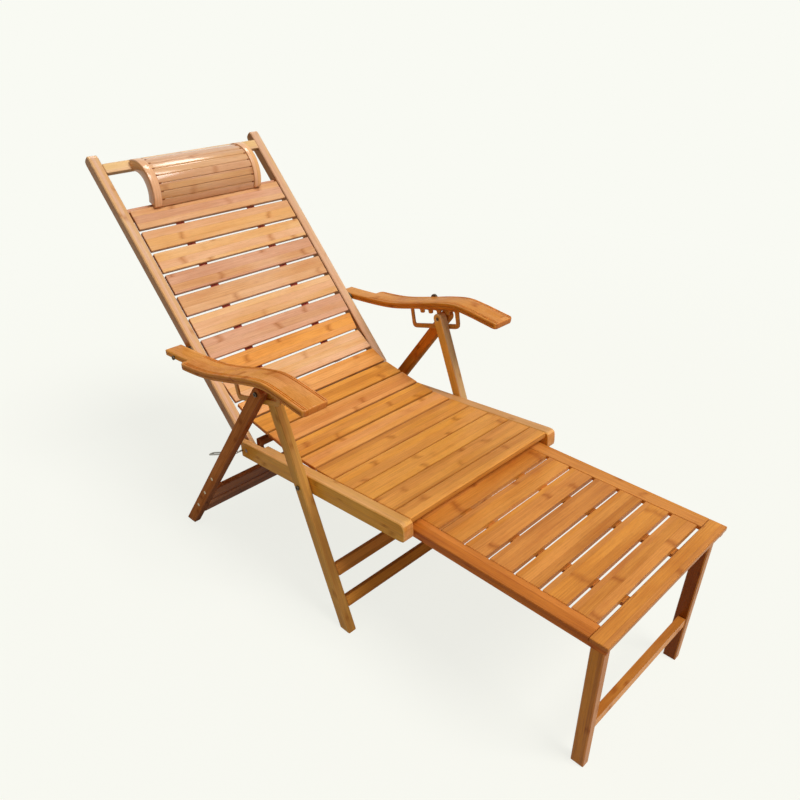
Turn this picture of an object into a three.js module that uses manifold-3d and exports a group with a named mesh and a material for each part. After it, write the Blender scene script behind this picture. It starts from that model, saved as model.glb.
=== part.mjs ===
// Bamboo folding recliner with a pull-out footrest and a head pillow.
// Lengths are in millimetres. The sitter faces -Y, the back leans towards +Y, +Z is up,
// and the chair is the same on both sides of the plane x = 0.
// "left" and "right" are the sitter's own sides, so left is +X.
// Side outlines are lists of [y, z] and are stretched along X.
import * as THREE from "three";
import { mergeVertices } from "three/addons/utils/BufferGeometryUtils.js";
import Module from "manifold-3d";

const wasm = await Module();
wasm.setup();

// Fits and edges
const fitGap = 0.3; // between two pieces that touch
const pinGap = 0.4; // round a pin that turns in its hole
const weldGap = 0.001; // points closer than this are one point
const boardEdge = 1.2; // chamfer along the edges of a board
const legEdge = 2; // chamfer along the edges of legs and stiles
const boardCorner = 2; // softened corners in a board's side outline
const sink = 0.6; // overlap of two shapes joined into one piece
const beyond = 40; // how far a cutting shape reaches past the piece it cuts
const cornerSteps = 3;
const roundSteps = 20;
const archSteps = 22;
const rackTopSteps = 10;
const pillowFacets = 2;
const sides = [1, -1];
const halfShare = 0.5;
const pairShare = 2;
const quarterTurn = Math.PI / pairShare;

// Pivots that carry the folding frame
const hingeY = 222; // seat to back
const hingeZ = 312;
const legPivotY = -6; // seat to front legs
const legPivotZ = 332;
const apexY = 78; // top of the leg pairs, in the rack of the armrest
const apexZ = 539;
const armPivotY = 410; // armrest to back
const armPivotZ = 510;

// Seat frame
const seatRailInner = 226;
const seatRailThick = 28;
const seatRailOuter = seatRailInner + seatRailThick;
const seatRailDepth = 44;
const seatRailFrontY = -298;
const seatRailRearY = 245;
const seatTopZ = 377; // top of the rails at seatTopY
const seatTopY = -290;
const seatFallShare = 0.0841; // drop of the rails per length towards the rear
const seatNose = 13; // rounding of the rails' front ends
const seatTail = 4;
const lapReach = 56; // length of the half lap ahead of the hinge
const lapInset = 14.2;
const lapPlane = seatRailInner + lapInset; // face between the two halves of the lap
const seatSlatHalf = seatRailInner - fitGap;
const seatSlatThick = 10;
const seatSlatGap = 2.2;
const noseSlatThick = 15;
const noseSlatRound = 6;
const seatBreaksY = [-291, -247, -186, -125, -64];
const crossRailFrontY = 203;
const crossRailRearY = 217;
const crossRailLowZ = 319;
const crossRailHighZ = 337;
const cleatFrontY = 157; // cleats under its ends reach forward to the uncut part of the rails
const cleatWide = 12;
const cleatStep = 0.2; // set in from the ends of the rail
const cleatLowZ = 298;
const cleatHighZ = 312;

// The sagging run of slats between seat and back, as points of its upper face
const sagSideGap = 2; // from the seat rails
const sagHalf = seatRailInner - sagSideGap;
const sagGap = 5;
const sagSplit = 7; // wider gap where the back parts from the seat
const sagY = [-64, -3, 53, 110, 169, 231, 285, 341, 374];
const sagZ = [358, 356, 356.5, 363, 373, 384, 407, 444, 486];
const sagSeatSlats = 6; // of these spans belong to the seat, the rest to the back

// Back frame, measured along the stiles from the hinge
const leanDegrees = 46.25; // of the stiles above level
const leanRun = Math.cos(THREE.MathUtils.degToRad(leanDegrees));
const leanRise = Math.sin(THREE.MathUtils.degToRad(leanDegrees));
const stileThick = 26;
const stileOuter = seatRailOuter;
const stileInner = stileOuter - stileThick;
const stileDepth = 28;
const stileLength = 816;
const stileTip = 11;
const stileLap = 62;
const topRailDown = 29; // from the tips of the stiles
const topRailWide = 27;
const topRailTo = stileLength - topRailDown;
const topRailFrom = topRailTo - topRailWide;
const topRailThick = 13;
const headOpening = 105; // between the top rail and the first slat
const backSideGap = 4; // from the stiles
const backSlatHalf = stileInner - backSideGap;
const backSlatThick = 10;
const backSlatTop = topRailFrom - headOpening; // upper edge of the first slat
const backSlatGap = 7;
const backSlatCount = 7;
const sagLastY = sagY[sagY.length - 1];
const sagLastZ = sagZ[sagZ.length - 1];
const backSlatLow = (sagLastY - hingeY) * leanRun + (sagLastZ - hingeZ) * leanRise;
const backSlatPitch = (backSlatTop - backSlatLow) / backSlatCount;
const pillowRailDown = 23; // below the upper edge of the first slat
const pillowRailWide = 32;
const pillowRailFrom = backSlatTop - pillowRailDown;
const pillowRailTo = pillowRailFrom + pillowRailWide;
const pillowRailThick = 12;
const railHalf = stileInner - fitGap;

// Webbing under the slats
const webInner = 97;
const webOuter = 121;
const webThick = 1.6;
const webTopDown = 3;
const webTopAlong = backSlatTop - webTopDown;
const webFrontY = -20;

// Head pillow
const pillowHalf = 162;
const pillowArchWide = 22;
const pillowChord = 145;
const pillowRise = 52;
const pillowArchDeep = 24;
const pillowUp = 57; // middle of the pillow above the first slat
const pillowMiddle = backSlatTop + pillowUp;
const pillowSlatDeep = 7;
const pillowSlatCount = 9;
const pillowSlatSink = 3; // slats lie this far under the rim of the arches
const pillowGroove = 1.8;
const pillowGrooveDeep = 4.5;

// Front legs
const frontLegGap = 1.5;
const frontLegThick = 23;
const frontLegInner = seatRailOuter + frontLegGap;
const frontLegOuter = frontLegInner + frontLegThick;
const frontLegHalf = 13.5;
const pivotPinRadius = 4;
const pivotPinInset = 3;
const pivotPinEnd = seatRailInner + pivotPinInset;
const stretcherThick = 14;
const frontStretcherHalf = frontLegInner - fitGap;
const frontStretcherTops = [150, 74];
const frontStretcherLows = [122, 49];

// Rear legs, with the racks of the armrests between them and the front legs
const rackGap = 0.8;
const rackThick = 5;
const rearLegGap = 0.7;
const rearLegThick = 20;
const rackInner = frontLegOuter + rackGap;
const rackOuter = rackInner + rackThick;
const rearLegInner = rackOuter + rearLegGap;
const rearLegOuter = rearLegInner + rearLegThick;
const rearLegHalf = 14.5;
const rearFootY = 463;
const rearStretcherHalf = rearLegInner - fitGap;
const rearStretcherThick = 12;
const rearStretcherFrom = [449, 523]; // along the leg from the apex
const rearStretcherTo = [518, 598];

// Apex and armrest bolts
const boltRadius = 3.5;
const boltHeadRadius = 7;
const boltHeadThick = 3.2;
const boltWasherRadius = 13.5;

// Armrests
const armGap = 4; // to the stiles
const armWide = 67;
const armInner = stileOuter + armGap;
const armOuter = armInner + armWide;
const armThick = 16;
const armEdge = 3;
const armY = [-103, -60, -20, 29, 86, 163, 250, 346, 447];
const armZ = [578, 583.5, 588.5, 591, 580, 558.5, 537, 526, 519.5];
const armSamples = 30;
const armTongueY = 346;
const armTongueInset = 23;
const armTongueOuter = armOuter - armTongueInset;
const armTongueRound = 12;
const armFrontRound = 10;
const armBoltInset = 8;
const armBoltEnd = stileInner + armBoltInset;
const armGrooveMargins = [7, 5]; // from the inner and the outer edge
const armGrooveWide = 2;
const armGrooveDeep = 1.4;
const armGrooveRearY = 190;

// Notched rack under each armrest
const rackEdge = 0.5;
const rackDegrees = 12; // fall of the row of notches towards the rear
const rackRun = Math.cos(THREE.MathUtils.degToRad(rackDegrees));
const rackFall = Math.sin(THREE.MathUtils.degToRad(rackDegrees));
const rackFrontReach = 50; // from the apex bolt
const rackRearReach = 114;
const rackWall = 10;
const rackPitch = 29;
const rackNotchWide = 16;
const rackNotchHigh = 15; // above the bolt's path
const rackToothLow = 5.6; // lower ends of the teeth above that path
const rackNotchRound = 4;
const rackFrontBottom = 29; // lower edge below that path
const rackRearBottom = 37;
const rackBar = 12; // strip under the window
const rackLowerRound = 14;
const rackFirstNotch = -1; // counted in pitches from the bolt
const rackNotchCount = 5;

// Footrest panel
const panelTopZ = 349;
const panelThick = 10;
const panelSideGap = 5; // to the seat rails
const panelHalf = seatRailInner - panelSideGap;
const panelSideWide = 37;
const panelFrontY = -722;
const panelEndWide = 36;
const panelRearY = -250;
const panelBreaksY = [-682, -623.6, -564.8, -506.4, -448, -389, -330, -271.5];
const panelGap = 8.5;
const battenMiddle = 90;
const battenWide = 22;
const battenDeep = 8;
const battenFrontY = -685.5;
const runnerInset = 4;
const runnerWide = 10;
const runnerOuter = panelHalf - runnerInset;
const runnerInner = runnerOuter - runnerWide;
const runnerDeep = 12;
const runnerSlit = 1;
const runnerKey = 6; // strip that joins runner and side board behind the slit
const runnerFrontY = -719;
const runnerNose = 5; // rounding of the runner's front end
const guideY = -262; // rod at the rear end of the panel, running in the rails
const guideZ = 342;
const guideRadius = 3;
const guideTravel = 360;
const guideSlotDepth = 4.4;
const guideEndGap = 0.6;
const guideHalf = seatRailInner + guideSlotDepth - guideEndGap;

// Footrest legs, inside the runners
const restLegGap = 1.1; // to the runners
const restLegThick = 21;
const restLegOuter = runnerInner - restLegGap;
const restLegInner = restLegOuter - restLegThick;
const restPivotY = -691;
const restPivotZ = 331;
const restLegRound = 7; // round the pivot, from there to the leg's top and rear edge
const restLegFront = 20; // from the pivot to the leg's front edge
const restSplayShare = 0.04; // how far the legs lean in per length
const restPinRadius = 3.5;
const restPinInset = 3;
const restPinEnd = runnerOuter - restPinInset;
const restStretcherLowZ = 100;
const restStretcherHighZ = 121;
const restStretcherThick = 16;
const restStretcherBack = 2; // from the leg's front edge
const restStretcherLean = restSplayShare * (restPivotZ - restStretcherLowZ);
const restStretcherHalf = restLegInner - restStretcherLean - fitGap;

// Wire loops behind the seat rails
const wireRadius = 2;
const wireGap = 16.5; // from the seat rails
const wireStudDeep = 11;
const wireX = seatRailOuter + wireGap;
const wireStudInner = seatRailOuter - wireStudDeep;
const wireEyeY = 238;
const wireEyeZ = 307;
const wireLength = 136;
const wireHalfWide = 6.5;
const wireDip = 0.45; // radians below level
const wireSides = 8;
const wireSamples = 44;

// Finishes
const bamboo = { color: 0xd9924c, roughness: 0.42, metalness: 0 };
const bambooDark = { color: 0x8a4a22, roughness: 0.45, metalness: 0 };
const bambooFrame = { color: 0xb98246, roughness: 0.42, metalness: 0 };
const bambooPale = { color: 0xe6ad6c, roughness: 0.4, metalness: 0 };
const webbing = { color: 0xa8402c, roughness: 0.9, metalness: 0 };
const steel = { color: 0xb4b6b8, roughness: 0.35, metalness: 0.9 };

const recliner = new THREE.Group();
recliner.name = "bamboo_recliner";

// Adds one named piece with its own finish.
function add(name, geometry, finish) {
  const mesh = new THREE.Mesh(geometry, new THREE.MeshStandardMaterial(finish));
  mesh.name = name;
  recliner.add(mesh);
}

// Runs a maker for both sides of the chair, side being 1 on the left and -1 on the right.
function bothSides(maker) {
  maker(1, "left");
  maker(-1, "right");
}

// Solids and geometry
function solidOf(geometry) {
  const loose = geometry.index ? geometry.toNonIndexed() : geometry;
  const bare = new THREE.BufferGeometry();
  bare.setAttribute("position", loose.getAttribute("position"));
  const merged = mergeVertices(bare, weldGap);
  const mesh = new wasm.Mesh({
    numProp: 3,
    vertProperties: merged.attributes.position.array,
    triVerts: new Uint32Array(merged.index.array),
  });
  return new wasm.Manifold(mesh);
}

function geometryOf(solid) {
  const mesh = solid.getMesh();
  const geometry = new THREE.BufferGeometry();
  const points = new THREE.BufferAttribute(new Float32Array(mesh.vertProperties), 3);
  geometry.setAttribute("position", points);
  geometry.setIndex(new THREE.BufferAttribute(new Uint32Array(mesh.triVerts), 1));
  const faceted = geometry.toNonIndexed();
  faceted.computeVertexNormals();
  return faceted;
}

function joined(first, ...rest) {
  const solid = rest.reduce((whole, piece) => whole.add(solidOf(piece)), solidOf(first));
  return geometryOf(solid);
}

function cut(body, ...tools) {
  const solid = tools.reduce((left, tool) => left.subtract(solidOf(tool)), solidOf(body));
  return geometryOf(solid);
}

// Outlines
function softened(points, reach) {
  const reaches = Array.isArray(reach) ? reach : points.map(() => reach);
  const outline = [];
  points.forEach((corner, i) => {
    const before = points[(i + points.length - 1) % points.length];
    const after = points[(i + 1) % points.length];
    if (reaches[i] === 0) {
      outline.push(corner);
      return;
    }
    const start = towards(corner, before, reaches[i]);
    const end = towards(corner, after, reaches[i]);
    for (let step = 0; step <= cornerSteps; step += 1) {
      const t = step / cornerSteps;
      const a = (1 - t) * (1 - t);
      const b = pairShare * t * (1 - t);
      const c = t * t;
      const across0 = a * start[0] + b * corner[0] + c * end[0];
      const across1 = a * start[1] + b * corner[1] + c * end[1];
      outline.push([across0, across1]);
    }
  });
  return outline;
}

function towards(from, to, reach) {
  const length = Math.hypot(to[0] - from[0], to[1] - from[1]);
  const share = reach / length;
  return [from[0] + (to[0] - from[0]) * share, from[1] + (to[1] - from[1]) * share];
}

// Four corners of a board whose face runs from start to end and that is thick behind it,
// where behind is the right-hand side of the way from start to end.
function boardCorners(start, end, thick) {
  const length = Math.hypot(end[0] - start[0], end[1] - start[1]);
  const run = (end[0] - start[0]) / length;
  const rise = (end[1] - start[1]) / length;
  const back = (p) => [p[0] + rise * thick, p[1] - run * thick];
  return [start, end, back(end), back(start)];
}

function circle(y, z, radius) {
  const points = [];
  for (let i = 0; i < roundSteps; i += 1) {
    const turn = (i / roundSteps) * Math.PI * pairShare;
    points.push([y + radius * Math.cos(turn), z + radius * Math.sin(turn)]);
  }
  return points;
}

// A bar round its centre line from top to bottom: a round upper end about top, and a lower
// end cut level at the height of bottom.
function legOutline(top, bottom, half) {
  const length = Math.hypot(bottom[0] - top[0], bottom[1] - top[1]);
  const run = (bottom[0] - top[0]) / length;
  const rise = (bottom[1] - top[1]) / length;
  const widen = half / Math.abs(rise);
  const points = [
    [bottom[0] - widen, bottom[1]],
    [bottom[0] + widen, bottom[1]],
  ];
  const start = Math.atan2(run, -rise);
  const steps = roundSteps * halfShare;
  for (let i = 0; i <= steps; i += 1) {
    const turn = start + (i / steps) * Math.PI;
    points.push([top[0] + half * Math.cos(turn), top[1] + half * Math.sin(turn)]);
  }
  return points;
}

function shapeOf(outline, holes = []) {
  const vectors = (points) => points.map(([a, b]) => new THREE.Vector2(a, b));
  const shape = new THREE.Shape(vectors(outline));
  holes.forEach((hole) => shape.holes.push(new THREE.Path(vectors(hole))));
  return shape;
}

// Stretches a side outline along X from one plane to another, with chamfered edges.
const ontoSide = new THREE.Matrix4().set(0, 0, 1, 0, 1, 0, 0, 0, 0, 1, 0, 0, 0, 0, 0, 1);

function across(outline, xFrom, xTo, edge, holes = []) {
  const low = Math.min(xFrom, xTo);
  const wide = Math.abs(xTo - xFrom);
  const geometry = new THREE.ExtrudeGeometry(shapeOf(outline, holes), {
    depth: wide - edge * pairShare,
    bevelEnabled: edge > 0,
    bevelThickness: edge,
    bevelSize: edge,
    bevelOffset: -edge,
    bevelSegments: 1,
  });
  geometry.translate(0, 0, edge);
  geometry.applyMatrix4(ontoSide);
  geometry.translate(low, 0, 0);
  return geometry;
}

// The same from one side of the middle plane to the other.
function spanning(outline, half, edge, holes = []) {
  return across(outline, -half, half, edge, holes);
}

function block(xFrom, xTo, yFrom, yTo, zFrom, zTo, edge = 0) {
  const outline = [
    [yFrom, zFrom],
    [yTo, zFrom],
    [yTo, zTo],
    [yFrom, zTo],
  ];
  return across(outline, xFrom, xTo, edge);
}

function pin(y, z, radius, xFrom, xTo) {
  return across(circle(y, z, radius), xFrom, xTo, 0);
}

// Positions
function seatTop(y) {
  return seatTopZ - (y - seatTopY) * seatFallShare;
}

// A point of the back, by its length along the stiles and its depth behind their front face.
function backPoint(along, behind) {
  const front = stileDepth * halfShare - behind;
  const y = hingeY + along * leanRun - front * leanRise;
  const z = hingeZ + along * leanRise + front * leanRun;
  return [y, z];
}

// A point on the leg line from a to b, off it by side towards the right-hand side.
function alongLine(a, b, along, side) {
  const length = Math.hypot(b[0] - a[0], b[1] - a[1]);
  const run = (b[0] - a[0]) / length;
  const rise = (b[1] - a[1]) / length;
  return [a[0] + run * along + rise * side, a[1] + rise * along - run * side];
}

// Board across the chair with its face from start to end.
function crossBoard(start, end, thick, half, corner = boardCorner) {
  return spanning(softened(boardCorners(start, end, thick), corner), half, boardEdge);
}

// Shortens a span by half a gap at each end.
function trimmed(start, end, gapStart, gapEnd) {
  return [towards(start, end, gapStart * halfShare), towards(end, start, gapEnd * halfShare)];
}

// Seat rails: inner half cut away at the rear for the lap with the back stiles
bothSides((side, label) => {
  const start = [seatRailFrontY, seatTop(seatRailFrontY)];
  const end = [seatRailRearY, seatTop(seatRailRearY)];
  const corners = boardCorners(start, end, seatRailDepth);
  const outline = softened(corners, [seatNose, seatTail, seatTail, seatNose]);
  const holes = [
    circle(hingeY, hingeZ, pivotPinRadius + pinGap),
    circle(legPivotY, legPivotZ, pivotPinRadius + pinGap),
  ];
  const body = across(outline, side * seatRailInner, side * seatRailOuter, legEdge, holes);
  const lap = block(
    side * (seatRailInner - beyond),
    side * lapPlane,
    hingeY - lapReach,
    seatRailRearY + beyond,
    hingeZ - beyond * pairShare,
    hingeZ + beyond * pairShare,
  );
  const slotRun = guideTravel / Math.hypot(1, seatFallShare);
  const slotHalf = guideRadius + pinGap;
  const slotFront = [guideY - slotHalf, guideZ + slotHalf * (1 + seatFallShare)];
  const slotRearY = guideY + slotRun + slotHalf;
  const slotRear = [slotRearY, slotFront[1] - (slotRearY - slotFront[0]) * seatFallShare];
  const slotOutline = boardCorners(slotFront, slotRear, slotHalf * pairShare);
  const slot = across(
    slotOutline,
    side * (seatRailInner - beyond),
    side * (seatRailInner + guideSlotDepth),
    0,
  );
  const studHole = pin(
    wireEyeY,
    wireEyeZ,
    wireRadius + pinGap,
    side * (wireStudInner - pinGap),
    side * (seatRailOuter + beyond),
  );
  add(`seat_rail_${label}`, cut(body, lap, slot, studHole), bambooFrame);
});

// Seat slats between the rails
seatBreaksY.slice(1).forEach((rearY, i) => {
  const frontY = seatBreaksY[i];
  const first = i === 0;
  const [start, end] = trimmed(
    [frontY, seatTop(frontY)],
    [rearY, seatTop(rearY)],
    first ? 0 : seatSlatGap,
    seatSlatGap,
  );
  const thick = first ? noseSlatThick : seatSlatThick;
  const corner = first ? [noseSlatRound, boardCorner, boardCorner, noseSlatRound] : boardCorner;
  add(`seat_slat_${i + 1}`, crossBoard(start, end, thick, seatSlatHalf, corner), bamboo);
});

// Sagging slats: the front ones lie on the seat, the last two move with the back
const sagPoints = sagY.map((y, i) => [y, sagZ[i]]);
const sagSpans = sagPoints.slice(1).map((end, i) => {
  const gapStart = i === sagSeatSlats ? sagSplit : sagGap;
  const gapEnd = i === sagSeatSlats - 1 ? sagSplit : sagGap;
  return trimmed(sagPoints[i], end, i === 0 ? seatSlatGap : gapStart, gapEnd);
});
const seatSlatsBefore = seatBreaksY.length - 1;
const backSlatsBefore = backSlatCount;
sagSpans.forEach(([start, end], i) => {
  const board = crossBoard(start, end, seatSlatThick, i === 0 ? seatSlatHalf : sagHalf);
  if (i < sagSeatSlats) add(`seat_slat_${seatSlatsBefore + i + 1}`, board, bamboo);
  else add(`back_slat_${backSlatsBefore + sagSpans.length - i}`, board, bamboo);
});

// Rear cross rail of the seat
{
  const corners = [
    [crossRailFrontY, crossRailLowZ],
    [crossRailRearY, crossRailLowZ],
    [crossRailRearY, crossRailHighZ],
    [crossRailFrontY, crossRailHighZ],
  ];
  const rail = spanning(softened(corners, legEdge), seatSlatHalf, boardEdge);
  const foot = (side, fromY, toZ) =>
    block(
      side * (seatSlatHalf - cleatWide),
      side * (seatSlatHalf - cleatStep),
      fromY,
      crossRailRearY - legEdge,
      cleatLowZ,
      toZ,
    );
  const cleats = sides.map((side) => foot(side, cleatFrontY, cleatHighZ));
  const risers = sides.map((side) => {
    return foot(side, crossRailFrontY + legEdge, crossRailLowZ + legEdge);
  });
  add("seat_cross_rail", joined(rail, ...cleats, ...risers), bambooDark);
}

// Steel rod on which the back turns
add("hinge_rod", pin(hingeY, hingeZ, pivotPinRadius, -seatRailOuter, seatRailOuter), steel);

// Back stiles, their outer half cut away at the foot for the lap with the seat rails
bothSides((side, label) => {
  const foot = [hingeY, hingeZ];
  const tip = [hingeY + stileLength * leanRun, hingeZ + stileLength * leanRise];
  const half = stileDepth * halfShare;
  const points = [];
  const steps = roundSteps * halfShare;
  const start = Math.atan2(leanRise, leanRun) + quarterTurn;
  for (let i = 0; i <= steps; i += 1) {
    const turn = start + (i / steps) * Math.PI;
    points.push([foot[0] + half * Math.cos(turn), foot[1] + half * Math.sin(turn)]);
  }
  points.push([tip[0] + half * leanRise, tip[1] - half * leanRun]);
  points.push([tip[0] - half * leanRise, tip[1] + half * leanRun]);
  const reach = points.map((p, i) => (i < points.length - pairShare ? 0 : stileTip));
  const holes = [
    circle(hingeY, hingeZ, pivotPinRadius + pinGap),
    circle(armPivotY, armPivotZ, boltRadius + pinGap),
  ];
  const outline = softened(points, reach);
  const body = across(outline, side * stileInner, side * stileOuter, legEdge, holes);
  const lapEnd = backPoint(stileLap, -beyond);
  const lapEndLow = backPoint(stileLap, stileDepth + beyond);
  const lapStart = backPoint(-beyond, -beyond);
  const lapStartLow = backPoint(-beyond, stileDepth + beyond);
  const lap = across(
    [lapStart, lapStartLow, lapEndLow, lapEnd],
    side * (lapPlane - fitGap),
    side * (stileOuter + beyond),
    0,
  );
  add(`back_stile_${label}`, cut(body, lap), bambooFrame);
});

// Slats of the back
for (let i = 0; i < backSlatCount; i += 1) {
  const high = backSlatTop - i * backSlatPitch;
  const low = high - backSlatPitch;
  const start = backPoint(low + backSlatGap * halfShare, 0);
  const end = backPoint(high - backSlatGap * halfShare, 0);
  add(`back_slat_${i + 1}`, crossBoard(start, end, backSlatThick, backSlatHalf), bamboo);
}

add(
  "back_top_rail",
  crossBoard(backPoint(topRailFrom, 0), backPoint(topRailTo, 0), topRailThick, railHalf),
  bambooPale,
);
const pillowRailBehind = backSlatThick + webThick + fitGap * pairShare;
add(
  "back_pillow_rail",
  crossBoard(
    backPoint(pillowRailFrom, pillowRailBehind),
    backPoint(pillowRailTo, pillowRailBehind),
    pillowRailThick,
    railHalf,
  ),
  bambooPale,
);

// A band of even thickness that follows points at a depth behind them.
function bandOutline(points, depth, thick) {
  const normals = points.map((p, i) => {
    const before = points[Math.max(i - 1, 0)];
    const after = points[Math.min(i + 1, points.length - 1)];
    const length = Math.hypot(after[0] - before[0], after[1] - before[1]);
    return [(after[1] - before[1]) / length, -(after[0] - before[0]) / length];
  });
  const moved = (p, normal, by) => [p[0] + normal[0] * by, p[1] + normal[1] * by];
  const shifted = (by) => points.map((p, i) => moved(p, normals[i], by));
  return [...shifted(depth), ...shifted(depth + thick).reverse()];
}

// Webbing: two bands behind the back slats and two under the sagging slats of the seat
bothSides((side, label) => {
  const backRun = [
    sagSpans[sagSeatSlats][0],
    sagPoints[sagSeatSlats + 1],
    sagPoints[sagSeatSlats + 2],
    backPoint(backSlatTop - backSlatPitch * backSlatCount + backSlatPitch * halfShare, 0),
    backPoint(webTopAlong, 0),
  ];
  const depth = backSlatThick + fitGap;
  const back = across(bandOutline(backRun, depth, webThick), side * webInner, side * webOuter, 0);
  add(`back_web_${label}`, back, webbing);
  const seatRun = [
    [webFrontY, sagZ[1]],
    ...sagPoints.slice(pairShare, sagSeatSlats),
    sagSpans[sagSeatSlats - 1][1],
  ];
  const seat = across(bandOutline(seatRun, depth, webThick), side * webInner, side * webOuter, 0);
  add(`seat_web_${label}`, seat, webbing);
});

// Head pillow: two arches and a run of narrow slats between them
const pillowRadius =
  ((pillowChord * halfShare) ** pairShare + pillowRise ** pairShare) / (pillowRise * pairShare);

function pillowArc(radius, clear) {
  const rise = pillowRadius - pillowRise + clear;
  return Math.acos(rise / radius);
}

function pillowPoint(radius, turn) {
  const along = pillowMiddle + radius * Math.sin(turn);
  const front = radius * Math.cos(turn) - (pillowRadius - pillowRise);
  return backPoint(along, -front);
}

bothSides((side, label) => {
  const outline = [];
  const outer = pillowArc(pillowRadius, fitGap);
  const inner = pillowArc(pillowRadius - pillowArchDeep, fitGap);
  for (let i = 0; i <= archSteps; i += 1) {
    const turn = -outer + (pairShare * outer * i) / archSteps;
    outline.push(pillowPoint(pillowRadius, turn));
  }
  for (let i = 0; i <= archSteps; i += 1) {
    const turn = inner - (pairShare * inner * i) / archSteps;
    outline.push(pillowPoint(pillowRadius - pillowArchDeep, turn));
  }
  const xInner = side * (pillowHalf - pillowArchWide);
  add(`pillow_arch_${label}`, across(outline, xInner, side * pillowHalf, boardEdge), bambooPale);
});
{
  const outer = pillowRadius - pillowSlatSink;
  const floor = outer - pillowGrooveDeep;
  const inner = outer - pillowSlatDeep;
  const reach = pillowArc(inner, fitGap);
  const step = (pairShare * reach) / pillowSlatCount;
  const groove = pillowGroove / outer;
  const outline = [];
  for (let i = 0; i < pillowSlatCount; i += 1) {
    const from = -reach + i * step + (i === 0 ? 0 : groove * halfShare);
    const to = -reach + (i + 1) * step - (i === pillowSlatCount - 1 ? 0 : groove * halfShare);
    if (i > 0) outline.push(pillowPoint(floor, from));
    for (let k = 0; k <= pillowFacets; k += 1) {
      outline.push(pillowPoint(outer, from + ((to - from) * k) / pillowFacets));
    }
    if (i < pillowSlatCount - 1) outline.push(pillowPoint(floor, to));
  }
  for (let i = 0; i <= archSteps; i += 1) {
    outline.push(pillowPoint(inner, reach - (pairShare * reach * i) / archSteps));
  }
  const half = pillowHalf - pillowArchWide - fitGap;
  add("pillow_slats", spanning(outline, half, 0), bambooPale);
}

// Leg pairs
const apex = [apexY, apexZ];
const legPivot = [legPivotY, legPivotZ];
const frontFootY = legPivotY - ((apexY - legPivotY) * legPivotZ) / (apexZ - legPivotZ);
const frontFoot = [frontFootY, 0];
const rearFoot = [rearFootY, 0];

bothSides((side, label) => {
  const boltHole = circle(apexY, apexZ, boltRadius + pinGap);
  const frontOutline = legOutline(apex, frontFoot, frontLegHalf);
  const frontBody = across(
    frontOutline,
    side * frontLegInner,
    side * frontLegOuter,
    legEdge,
    [boltHole],
  );
  const pivot = pin(...legPivot, pivotPinRadius, side * pivotPinEnd, side * (frontLegInner + sink));
  add(`front_leg_${label}`, joined(frontBody, pivot), bambooFrame);
  const rearOutline = legOutline(apex, rearFoot, rearLegHalf);
  const rearBody = across(rearOutline, side * rearLegInner, side * rearLegOuter, legEdge, [boltHole]);
  add(`rear_leg_${label}`, rearBody, bambooDark);
  const shank = pin(...apex, boltRadius, side * (frontLegInner + sink), side * rearLegOuter);
  const headFrom = rearLegOuter + fitGap;
  const neck = pin(...apex, boltRadius, side * (rearLegOuter - sink), side * (headFrom + sink));
  const head = pin(...apex, boltHeadRadius, side * headFrom, side * (headFrom + boltHeadThick));
  add(`apex_bolt_${label}`, joined(shank, neck, head), steel);
});

// Height on the front leg's line as a length down from the apex
function frontAlong(z) {
  return ((apexZ - z) * Math.hypot(apexY - frontFootY, apexZ)) / apexZ;
}

frontStretcherTops.forEach((top, i) => {
  const face = frontLegHalf;
  const start = alongLine(apex, frontFoot, frontAlong(frontStretcherLows[i]), face);
  const end = alongLine(apex, frontFoot, frontAlong(top), face);
  const corners = boardCorners(start, end, stretcherThick);
  const outline = softened(corners, boardCorner);
  const name = i === 0 ? "front_stretcher_upper" : "front_stretcher_lower";
  add(name, spanning(outline, frontStretcherHalf, boardEdge), bambooDark);
});

rearStretcherFrom.forEach((from, i) => {
  const face = rearLegHalf;
  const start = alongLine(apex, rearFoot, rearStretcherTo[i], face);
  const end = alongLine(apex, rearFoot, from, face);
  const corners = boardCorners(start, end, rearStretcherThick);
  const outline = softened(corners, boardCorner);
  const name = i === 0 ? "rear_stretcher_upper" : "rear_stretcher_lower";
  add(name, spanning(outline, rearStretcherHalf, boardEdge), bambooDark);
});

// Armrests
const armCurve = new THREE.SplineCurve(armY.map((y, i) => new THREE.Vector2(y, armZ[i])));
const armTop = armCurve.getPoints(armSamples).map((p) => [p.x, p.y]);
const armBand = bandOutline(armTop, 0, armThick);
const armLow = armBand.slice(armTop.length).reverse();

// Height of the armrest's underside at y
function armUnder(y) {
  const i = armLow.findIndex((p, k) => k > 0 && p[0] >= y);
  const [before, after] = [armLow[i - 1], armLow[i]];
  return before[1] + ((after[1] - before[1]) * (y - before[0])) / (after[0] - before[0]);
}

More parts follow.
